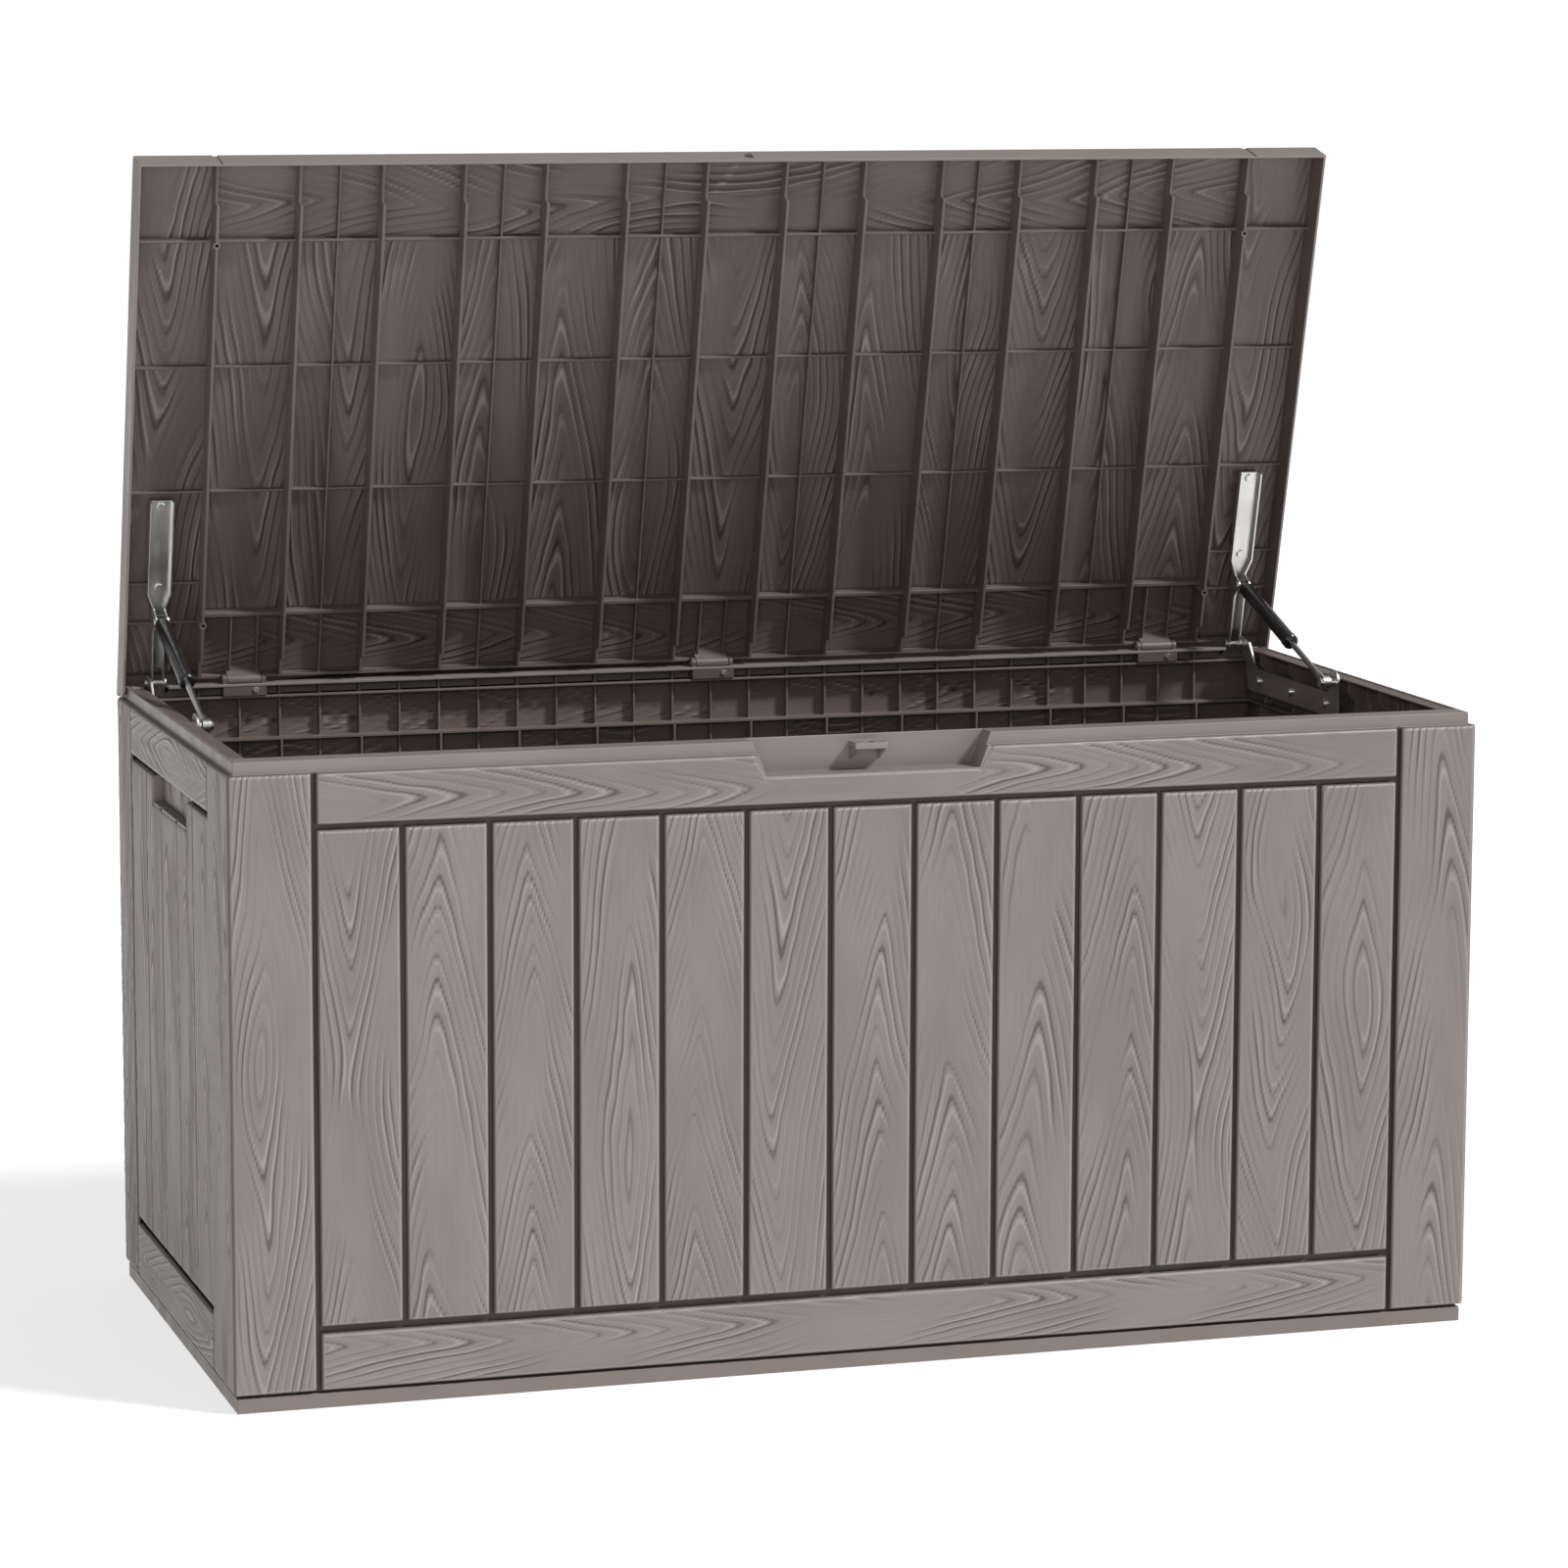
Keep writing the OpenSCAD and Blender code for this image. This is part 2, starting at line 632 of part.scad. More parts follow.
// Formed steel arm: a broad channel screwed to the lid that necks down to the hinge
module arm_shape() {
    n = arm_half;
    difference() {
        union() {
            translate([strut_x, 0, -1])
                linear_extrude(height = web_top + 1)
                    difference() {
                        polygon([
                            [-wide_half, -arm_top + 1], [-wide_half + 1, -arm_top], [wide_half - 1, -arm_top],
                            [wide_half, -arm_top + 1], [wide_half, -arm_wide], [n, -arm_neck], [n, 0],
                            [-n, 0], [-n, -arm_neck], [-wide_half, -arm_wide]
                        ]);
                        polygon([
                            [-wide_half + arm_t, -arm_top - 1], [wide_half - arm_t, -arm_top - 1],
                            [wide_half - arm_t, -arm_wide - 0.6], [n - arm_t, -arm_neck - 0.6],
                            [n - arm_t, 1], [-n + arm_t, 1], [-n + arm_t, -arm_neck - 0.6],
                            [-wide_half + arm_t, -arm_wide - 0.6]
                        ]);
                    }
            translate([strut_x, 0, web_top - arm_t])
                linear_extrude(height = arm_t)
                    polygon([
                        [-wide_half, -arm_top + 1], [-wide_half + 1, -arm_top], [wide_half - 1, -arm_top],
                        [wide_half, -arm_top + 1], [wide_half, -arm_wide], [n, -arm_neck], [n, -14],
                        [-n, -14], [-n, -arm_neck], [-wide_half, -arm_wide]
                    ]);
            for (s = [-1, 1])
                side_profile(strut_x + s * (n - arm_t / 2) - arm_t / 2, strut_x + s * (n - arm_t / 2) + arm_t / 2) {
                    polygon([
                        [-arm_neck, web_top], [-arm_neck, -1], [-upper_reach - 6, -upper_drop],
                        [-upper_reach + 6, -upper_drop], [-upper_reach + 14, -5], [0, -6], [0, web_top]
                    ]);
                    circle(r = web_top);
                    translate([-upper_reach, -upper_drop])
                        circle(r = 6);
                }
        }
        bar_x(strut_x - 20, strut_x + 20, 3 + run_fit);
        translate([0, -upper_reach, -upper_drop])
            bar_x(strut_x - 20, strut_x + 20, 3);
        for (a = screw_a)
            translate([strut_x, -a, web_top - arm_t - 1])
                cylinder(r = 2.4, h = arm_t + 2);
    }
}

module lid_arm() {
    color(steel)
        lid_frame()
            arm_shape();
}

// Pan-head screws that hold the arm to the lid
module lid_arm_screws() {
    color(steel)
        lid_frame()
            for (a = screw_a)
                translate([strut_x, -a, web_top - arm_t])
                    union() {
                        translate([0, 0, -2.4])
                            cylinder(r = 4.2, h = 2.4);
                        translate([0, 0, -0.5])
                            cylinder(r = 1.95, h = 9);
                    }
}

// Rivet on the hinge line, fixed in the bracket, turning in the arm
module arm_rivet() {
    color(steel)
        translate([0, hinge_y, hinge_z])
            union() {
                bar_x(strut_x - arm_half - 1, plate_out + 0.4, 3);
                bar_x(strut_x - arm_half - 2.4, strut_x - arm_half - 0.3, 5);
                bar_x(strut_x + arm_half + 0.3, plate_in, 5);
                bar_x(plate_out, plate_out + 1.6, 4.5);
            }
}

// Pin at the top of the strut, fixed in the arm
module upper_pin() {
    color(steel)
        lid_frame()
            translate([0, -upper_reach, -upper_drop])
                union() {
                    bar_x(strut_x - arm_half - 0.5, strut_x + arm_half + 0.5, 2.99);
                    bar_x(strut_x - arm_half - 1.5, strut_x - arm_half, 4.5);
                    bar_x(strut_x + arm_half, strut_x + arm_half + 1, 4.5);
                }
}

// Flat bracket screwed inside the end wall
module bracket() {
    color(steel)
        difference() {
            side_profile(plate_in, plate_out) {
                polygon([
                    [low_y - 12.5, bar_lo + 3], [low_y - 9.5, bar_lo], [hinge_y - 27, bar_lo],
                    [hinge_y - 24, bar_lo + 4], [hinge_y - 15.5, rim_h - 14], [hinge_y - 6, hinge_z - 8],
                    [hinge_y, hinge_z - 7.5], [hinge_y, hinge_z + 8], [hinge_y - 24, hinge_z + 4],
                    [hinge_y - 40, rim_h - 12], [hinge_y - 48, bar_hi], [low_y + 15, bar_hi],
                    [low_y + 12.5, bar_hi + 2.5], [low_y + 12.5, low_z], [low_y - 12.5, low_z]
                ]);
                translate([low_y, low_z])
                    circle(r = 12.5);
                translate([hinge_y, hinge_z])
                    circle(r = 8);
            }
            translate([0, hinge_y, hinge_z])
                bar_x(plate_in - 1, plate_out + 1, 3);
            translate([0, low_y, low_z])
                bar_x(plate_in - 1, plate_out + 1, 3);
            for (y = bolt_y)
                translate([0, y, bolt_z])
                    bar_x(plate_in - 1, plate_out + 1, 2.4);
        }
}

// Pan-head screws that hold the bracket to the end wall
module bracket_screws() {
    color(steel)
        for (y = bolt_y)
            translate([0, y, bolt_z])
                union() {
                    bar_x(plate_in - 2.6, plate_in, 5);
                    bar_x(plate_in - 0.5, plate_out + 9, 1.95);
                }
}

// Stud riveted in the front arm of the bracket, facing the rod end
module bracket_stud() {
    color(steel)
        translate([0, low_y, low_z])
            union() {
                bar_x(strut_x + 4.5, plate_in, 5);
                bar_x(plate_in - 0.5, plate_out + 0.4, 2.99);
                bar_x(plate_out, plate_out + 1.4, 4.5);
            }
}

// Frame along the strut: origin at the upper pin, +Y towards the lower pin
module strut_frame() {
    translate([strut_x, up_y, up_z])
        rotate([strut_tilt, 0, 0])
            mirror([0, 1, 0])
                children();
}

// Round bar along the strut
module strut_bar(s0, s1, r) {
    translate([0, s0, 0])
        rotate([-90, 0, 0])
            cylinder(r = r, h = s1 - s0);
}

// Flat eye on top of the cylinder, turning on the upper pin
module strut_eye() {
    color(black)
        strut_frame()
            difference() {
                union() {
                    bar_x(-4.1, 4.1, 6);
                    span([-4.1, 0, -5], [4.1, cyl_from - 1.3, 5]);
                    strut_bar(cyl_from - 2, cyl_from, 5.6);
                }
                bar_x(-6, 6, 3 + run_fit);
            }
}

// Pressure tube, closed at the top
module strut_cylinder() {
    color(black)
        strut_frame()
            rotate([-90, 0, 0])
                rotate_extrude($fn = 64)
                    polygon([
                        [0, cyl_from], [cyl_r - 1.5, cyl_from], [cyl_r, cyl_from + 1.5], [cyl_r, cyl_to - gland_l],
                        [cyl_r - cyl_wall, cyl_to - gland_l], [cyl_r - cyl_wall, cyl_from + 6], [0, cyl_from + 6]
                    ]);
}

// Guide ring that closes the tube round the rod
module strut_gland() {
    color(black)
        strut_frame()
            rotate([-90, 0, 0])
                rotate_extrude($fn = 64)
                    polygon([
                        [rod_r + run_fit, cyl_to - gland_l - 3], [cyl_r - cyl_wall, cyl_to - gland_l - 3],
                        [cyl_r - cyl_wall, cyl_to - gland_l], [cyl_r + 0.6, cyl_to - gland_l],
                        [cyl_r + 0.6, cyl_to - 1.5], [cyl_r - 0.9, cyl_to], [rod_r + run_fit, cyl_to]
                    ]);
}

// Polished rod with its piston inside the tube
module strut_rod() {
    color(chrome)
        strut_frame()
            union() {
                strut_bar(piston_at, strut_len - 6.8, rod_r);
                strut_bar(piston_at, piston_at + 7, cyl_r - cyl_wall - 0.3);
            }
}

// Eye fitting on the end of the rod
module rod_end() {
    color(steel)
        strut_frame()
            difference() {
                union() {
                    translate([0, strut_len, 0])
                        bar_x(-4, 4, 7);
                    strut_bar(strut_len - 16, strut_len - 4, 4.2);
                }
                strut_bar(strut_len - 17, strut_len - 6.8, rod_r);
                translate([0, strut_len, 0])
                    bar_x(-6, 6, 3);
            }
}

// Cross pin of the rod end, its head on the inner side
module rod_end_pin() {
    color(chrome)
        strut_frame()
            translate([0, strut_len, 0])
                union() {
                    bar_x(-4.5, 4, 2.99);
                    bar_x(-6.5, -4, 5);
                }
}

module left_lid_arm() {
    mirror([1, 0, 0])
        lid_arm();
}

module left_lid_arm_screws() {
    mirror([1, 0, 0])
        lid_arm_screws();
}

module left_arm_rivet() {
    mirror([1, 0, 0])
        arm_rivet();
}

module left_upper_pin() {
    mirror([1, 0, 0])
        upper_pin();
}

module left_bracket() {
    mirror([1, 0, 0])
        bracket();
}

module left_bracket_screws() {
    mirror([1, 0, 0])
        bracket_screws();
}

module left_bracket_stud() {
    mirror([1, 0, 0])
        bracket_stud();
}

module left_strut_eye() {
    mirror([1, 0, 0])
        strut_eye();
}

module left_strut_cylinder() {
    mirror([1, 0, 0])
        strut_cylinder();
}

module left_strut_gland() {
    mirror([1, 0, 0])
        strut_gland();
}

module left_strut_rod() {
    mirror([1, 0, 0])
        strut_rod();
}

module left_rod_end() {
    mirror([1, 0, 0])
        rod_end();
}

module left_rod_end_pin() {
    mirror([1, 0, 0])
        rod_end_pin();
}

floor_panel();
front_panel();
back_panel();
left_panel();
right_panel();
hinge_block_left();
hinge_block_middle();
hinge_block_right();
hinge_block_screws();
hinge_pins();
lid_panel();
left_lid_arm();
left_lid_arm_screws();
left_arm_rivet();
left_upper_pin();
left_bracket();
left_bracket_screws();
left_bracket_stud();
left_strut_eye();
left_strut_cylinder();
left_strut_gland();
left_strut_rod();
left_rod_end();
left_rod_end_pin();
lid_arm();  // right_lid_arm
lid_arm_screws();  // right_lid_arm_screws
arm_rivet();  // right_arm_rivet
upper_pin();  // right_upper_pin
bracket();  // right_bracket
bracket_screws();  // right_bracket_screws
bracket_stud();  // right_bracket_stud
strut_eye();  // right_strut_eye
strut_cylinder();  // right_strut_cylinder
strut_gland();  // right_strut_gland
strut_rod();  // right_strut_rod
rod_end();  // right_rod_end
rod_end_pin();  // right_rod_end_pin
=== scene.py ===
"""Deck storage box, lid open: moulded wood-grain boards over the CAD panels, ribbed lid, steel
and black gas-strut hardware. Named positions are in millimetres in the CAD frame and become
metres when a mesh or a mask is made; lights and camera are in metres."""
import math

import bpy
import numpy as np
from mathutils import Matrix, Vector


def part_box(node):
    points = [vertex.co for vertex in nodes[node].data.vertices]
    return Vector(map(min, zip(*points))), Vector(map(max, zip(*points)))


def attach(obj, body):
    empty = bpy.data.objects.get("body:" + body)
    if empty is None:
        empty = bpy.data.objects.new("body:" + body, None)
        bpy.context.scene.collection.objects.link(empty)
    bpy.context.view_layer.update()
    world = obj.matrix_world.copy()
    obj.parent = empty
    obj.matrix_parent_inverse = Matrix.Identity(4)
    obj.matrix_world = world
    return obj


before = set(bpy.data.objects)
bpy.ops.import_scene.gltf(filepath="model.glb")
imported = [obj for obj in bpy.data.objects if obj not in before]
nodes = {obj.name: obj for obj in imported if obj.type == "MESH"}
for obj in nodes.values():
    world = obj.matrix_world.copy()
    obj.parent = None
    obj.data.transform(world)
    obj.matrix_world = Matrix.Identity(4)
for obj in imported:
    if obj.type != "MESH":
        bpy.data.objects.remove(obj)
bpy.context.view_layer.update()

COARSE = 1.0

# ---- the CAD panels, as numbers ----


def corners(name):
    """Lowest and highest corner of a CAD node, in millimetres."""
    lo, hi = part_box(name)
    return np.array(lo) * 1000.0, np.array(hi) * 1000.0


front_lo, front_hi = corners("front_panel")
side_lo, side_hi = corners("right_panel")
back_hi = corners("back_panel")[1]
X_AXIS = np.array([1.0, 0.0, 0.0])
Y_AXIS = np.array([0.0, 1.0, 0.0])
Z_AXIS = np.array([0.0, 0.0, 1.0])

# Outer faces of the walls, the smooth band along the rim, and the boards under it
FACE_X = side_hi[0]
FACE_Y = front_lo[1]
BACK_Y = back_hi[1]
BACK_HALF = back_hi[0]
RIM = front_hi[2]
BAND = 12.0
BOARD_TOP = RIM - BAND
BOARD_LOW = front_lo[2] + 2.7

# Front and back boards: a field of planks between two rails and two stiles
PLANKS = 13
PITCH = 81.5
FIELD = PLANKS * PITCH / 2
GAP = 5.0
RAIL_LOW = 541.0
BASE_RAIL = 70.0
PLANK_LOW = BASE_RAIL + GAP / 2 + 4.0
PLANK_TOP = RAIL_LOW - GAP / 2 - 3.0
# The planks lie this much deeper than the rails and stiles
PLANK_SET = 1.0

# End walls: the front panel returns round the corner as far as CORNER_BACK
SIDE_PLANKS = 5
SIDE_PITCH = 77.0
SIDE_FRONT = side_lo[1]
SIDE_FIELD = SIDE_FRONT + 67.0
CORNER_BACK = FACE_Y + 34.0
# Hand grip: front end, back end and lower edge
GRIP = (-76.0, 94.0, 510.0)
GRIP_EDGE = 2.5

# Finger recess in the front top rail: half width at the top and at the bottom, and its floor
RECESS_TOP = 116.3
RECESS_LOW = 104.3
RECESS_Z = 567.2

# The inner faces between the ribs: each wall with its boards is this thick
BACK_WALL = 7.0
END_WALL = 9.0
INSIDE_Y = BACK_Y - BACK_WALL
INSIDE_X = FACE_X - END_WALL
TRAY = 18.0
SHELF = RIM - 56.5

# The open lid: ALONG runs from its front edge to its rear edge, OVER out of its top face, and
# places on it are counted from the hinge line
HINGE = np.array([0.0, 256.5, 603.0])
OPEN = math.radians(76.0)
ALONG = np.array([0.0, math.cos(OPEN), -math.sin(OPEN)])
OVER = np.array([0.0, math.sin(OPEN), math.cos(OPEN)])
LID_FRONT = -534.5
LID_TAIL = 18.0
LID_TOP = 19.0
LID_UNDER = 15.2
LID_HALF = 608.3
LID_RAIL = LID_FRONT + 82.5
LID_REAR = -68.0
# The skins under the lid stop SKIRT inside its edges and end at UNDER_TAIL behind; those on top
# stop TOP_EDGE short of its front
SKIRT = 2.4
UNDER_TAIL = -3.2
TOP_EDGE = 3.0

# How far the moulded boards stand out over the CAD faces, how wide they grow on each side, and
# the radius of their rolled edges
PROUD = 1.8
GROW = 0.3
EDGE = 3.9
# Depth of the embossed grain, from the bottom of a line to the top of the ridge beside it
RELIEF = 1.6
# The grain fades out this near to an edge
FADE = 2.6
# How much the face of a board swells and sinks, in slow waves
CROWN = 0.10
# Shift from board to board in the texture space, so that no two share a streak
BOARD_SHIFT = 1000.0
BOARD_SCATTER = 137.0

# Flat-sawn grain. The four figures are arches to one end, arches to the other, closed eyes and
# hourglasses, and FIGURE_SHARE says how often each occurs
FIGURE_SHARE = (0.56, 0.1, 0.26, 0.08)
EYE = 45.0
WAIST = 70.0
RING_PITCH = (6.4, 9.2)
ARCH_TIP = (2.5, 6.5)
ARCH_LEAN = (0.15, 0.3)
# ARCH_LEAN holds for a board LEAN_WIDTH wide; wider ones lean less, and none counts as
# narrower than LEAN_LEAST
LEAN_WIDTH = 76.0
LEAN_LEAST = 45.0
# Place and width of the groove and of the ridge within one ring, as shares of the ring
GROOVE_AT, GROOVE_WIDE, GROOVE_DEEP = 0.62, 0.15, 0.6
CREST_AT, CREST_WIDE, CREST_HIGH = 0.35, 0.16, 0.4

# ---- wood-grain boards ----


def waves(rng, along, across, long_scale, wide_scale, count=7):
    """A smooth random field, about -1 to 1."""
    total = np.zeros(np.broadcast(along, across).shape)
    for _ in range(count):
        fa = rng.uniform(0.35, 1.0) * rng.choice((-1, 1)) / long_scale
        fc = rng.uniform(0.35, 1.0) * rng.choice((-1, 1)) / wide_scale
        total += np.sin(2 * math.pi * (along * fa + across * fc) + rng.uniform(0, 2 * math.pi))
    return total / math.sqrt(count)


def figure(rng, along, across, length, width):
    """Flat-sawn grain: the surface height (-GROOVE_DEEP in a line, CREST_HIGH on the ridge
    beside it, 0 between lines) and the tone of its painted shade and highlight (1 in a dark line,
    -1 on a pale ridge)."""
    centre = width * rng.uniform(0.3, 0.7)
    start = length * rng.uniform(0.15, 0.85)
    lean = rng.uniform(*ARCH_LEAN) * (LEAN_WIDTH / max(width, LEAN_LEAST)) ** 0.25
    pitch = rng.uniform(*RING_PITCH)
    tip = rng.uniform(*ARCH_TIP)
    kind = rng.choice(4, p=FIGURE_SHARE)
    # The heart of the figure wanders a little across the board
    c = across - centre - 0.07 * width * waves(rng, along, 0.0 * across, 260.0, 400.0, 4)
    go = along - start
    run = (go, -go, np.sqrt(go * go + EYE ** 2), -np.sqrt(go * go + WAIST ** 2))[kind]
    phase = (np.sqrt(c * c + tip * tip) + lean * run) / pitch
    # Slow waves bend the rings, short ones make them tremble
    phase = phase + 0.26 * waves(rng, along, across, 190.0, 60.0)
    phase = phase + 0.05 * waves(rng, along, across, 60.0, 16.0)
    ring = np.floor(phase)
    s = phase - ring
    groove = np.exp(-(((s - GROOVE_AT) / GROOVE_WIDE) ** 2))
    crest = np.exp(-(((s - CREST_AT) / CREST_WIDE) ** 2))
    # The emboss is weaker in calm patches, and differs from ring to ring
    calm = np.clip(0.78 + 0.62 * waves(rng, along, across, 260.0, 70.0), 0.12, 1.0)
    strength = calm * (0.45 + 0.55 * np.sin((ring + 0.5) * 2.4 + rng.uniform(0, 6)) ** 2)
    return strength * (CREST_HIGH * crest - GROOVE_DEEP * groove), strength * (groove - crest)


def stations(length, low_r, high_r, step, extra):
    """Grid lines across one side of a board: close over the rounded edges, even between them."""
    turn = 1 - np.cos(np.linspace(0, math.pi / 2, 5))
    low = low_r * turn if low_r > 0 else np.array([0.0])
    high = length - high_r * turn[::-1] if high_r > 0 else np.array([length])
    count = max(2, int(round((length - low_r - high_r) / step)))
    middle = np.linspace(low_r, length - high_r, count + 1)
    line = np.concatenate([low, middle, high, np.array(extra, float)])
    line = np.unique(np.round(line, 4))
    return np.concatenate([[0.0], line, [length]])


def rolled(radius, distance):
    """How far a rolled edge of this radius has dropped at this distance from it."""
    inward = np.clip(radius - distance, 0, radius)
    return radius - np.sqrt(np.clip(radius * radius - inward ** 2, 0, None))


class Skin:
    """Moulded boards that make one piece: a fine grid for each board, its edges rolled over."""

    def __init__(self, name, seed):
        self.name = name
        # Each skin has its own generator, so that one can change without the others
        self.rng = np.random.default_rng(seed)
        self.co, self.quads, self.grain, self.tone, self.edge, self.place = [], [], [], [], [], []
        self.count = 0
        self.boards = 0

    def board(self, origin, s_dir, t_dir, out, width, height, along, radii=(EDGE,) * 4, top=None,
              extra=(), relief=RELIEF, fine=0.95, coarse=5.6, skirt=EDGE + 0.5, proud=PROUD,
              grow=(GROW,) * 4):
        """One board: it starts at origin and spans width along s_dir and height along t_dir. Its
        grain runs along "s" or "t". top(s) gives how high the board reaches where it is cut out,
        and extra lists further grid lines there. radii and grow are for the low and high side in
        s, then in t. The grid is fine across the grain and coarse along it."""
        rng = self.rng
        origin = np.array(origin, float) - s_dir * grow[0] - t_dir * grow[2] + out * proud
        width = width + grow[0] + grow[1]
        height = height + grow[2] + grow[3]
        step_s, step_t = (coarse, fine) if along == "s" else (fine, coarse)
        extra = [e + grow[0] for e in extra]
        s = stations(width, radii[0], radii[1], step_s * COARSE, extra)
        t = stations(height, radii[2], radii[3], step_t * COARSE, ())
        if top is None:
            reach = np.full(len(s), height)
        else:
            reach = np.array([top(v - grow[0]) + grow[2] + grow[3] for v in s])
        S = np.repeat(s[:, None], len(t), 1)
        T = t[None, :] * (reach / height)[:, None]
        limit = np.repeat(reach[:, None], len(t), 1)
        # A sloping cut-out measures its rolled edge square to the slope
        slope = np.abs(np.gradient(reach, s + np.arange(len(s)) * 1e-5))
        lean = 1 / np.sqrt(1 + np.clip(slope, 0, 3) ** 2)
        down = np.zeros_like(S)
        for r, d in ((radii[0], S), (radii[1], width - S)):
            if r > 0:
                down = np.maximum(down, rolled(r, d))
        ends = np.zeros_like(S)
        for r, d in ((radii[2], T), (radii[3], (limit - T) * lean[:, None])):
            if r > 0:
                ends = np.maximum(ends, rolled(r, d))
        roll = np.minimum(np.sqrt(down ** 2 + ends ** 2), EDGE)
        near = np.minimum(np.minimum(S, width - S), np.minimum(T, limit - T))
        fade = np.clip(near / FADE, 0, 1)
        fade = fade * fade * (3 - 2 * fade)
        go, cross = (S, T) if along == "s" else (T, S)
        length, across = (width, height) if along == "s" else (height, width)
        high, line = figure(rng, go, cross, length, across)
        crown = CROWN * waves(rng, go, cross, 300.0, 90.0, 3)
        # The ridges reach up to the board's face, and nothing rises past it
        grained = relief * (high * fade - CREST_HIGH) + (crown * fade - CROWN) * 0.5
        z = np.minimum(grained, 0) - roll
        z[0, :] = z[-1, :] = z[:, 0] = z[:, -1] = -skirt
        co = origin + S[..., None] * s_dir + T[..., None] * t_dir + z[..., None] * out
        n_s, n_t = S.shape
        index = self.count + np.arange(n_s * n_t).reshape(n_s, n_t)
        a, b, c, d = index[:-1, :-1], index[1:, :-1], index[1:, 1:], index[:-1, 1:]
        quads = np.stack([a, b, c, d], -1).reshape(-1, 4)
        if np.dot(np.cross(s_dir, t_dir), out) < 0:
            quads = quads[:, ::-1]
        tone = rng.uniform(0, 1)
        self.co.append(co.reshape(-1, 3))
        self.quads.append(quads)
        # The material paints grain as shade in the lines and highlight on the ridges, and edge as
        # highlight and shade on the rolled edges
        self.grain.append((line * fade).ravel())
        self.edge.append(np.clip(roll / EDGE, 0, 1).ravel())
        self.tone.append(np.full(n_s * n_t, tone))
        shift = BOARD_SHIFT * self.boards + BOARD_SCATTER * rng.uniform(0, 5)
        place = np.stack([cross + shift, go, np.zeros_like(go)], -1).reshape(-1, 3) / 1000.0
        self.place.append(place)
        self.count += n_s * n_t
        self.boards += 1

    def make(self, body, material):
        """The mesh of all the boards, riding on a body. Its attributes feed the material: grain and
            edge, which it paints as shade and highlight, tone, and board, the place on the board."""
        co = np.concatenate(self.co) / 1000.0
        quads = np.concatenate(self.quads)
        mesh = bpy.data.meshes.new(self.name)
        mesh.vertices.add(len(co))
        mesh.vertices.foreach_set("co", co.astype(np.float32).ravel())
        mesh.loops.add(quads.size)
        mesh.loops.foreach_set("vertex_index", quads.astype(np.int32).ravel())
        mesh.polygons.add(len(quads))
        mesh.polygons.foreach_set("loop_start", np.arange(len(quads), dtype=np.int32) * 4)
        mesh.update(calc_edges=True)
        mesh.polygons.foreach_set("use_smooth", np.ones(len(quads), bool))
        for name, data in (("grain", self.grain), ("tone", self.tone), ("edge", self.edge)):
            layer = mesh.attributes.new(name, "FLOAT", "POINT")
            layer.data.foreach_set("value", np.concatenate(data).astype(np.float32))
        layer = mesh.attributes.new("board", "FLOAT_VECTOR", "POINT")
        layer.data.foreach_set("vector", np.concatenate(self.place).astype(np.float32).ravel())
        mesh.validate()
        obj = bpy.data.objects.new(self.name, mesh)
        bpy.context.scene.collection.objects.link(obj)
        mesh.materials.append(material)
        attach(obj, body)
        return obj


# ---- materials ----


def srgb(r, g, b):
    """Linear colour from an 8-bit display colour."""
    out = []
    for v in (r, g, b):
        v /= 255.0
        out.append(v / 12.92 if v <= 0.04045 else ((v + 0.055) / 1.055) ** 2.4)
    return (*out, 1.0)


def dimmed(colour, share):
    """The colour at a share of its brightness."""
    return tuple(v * share for v in colour[:3]) + (1.0,)


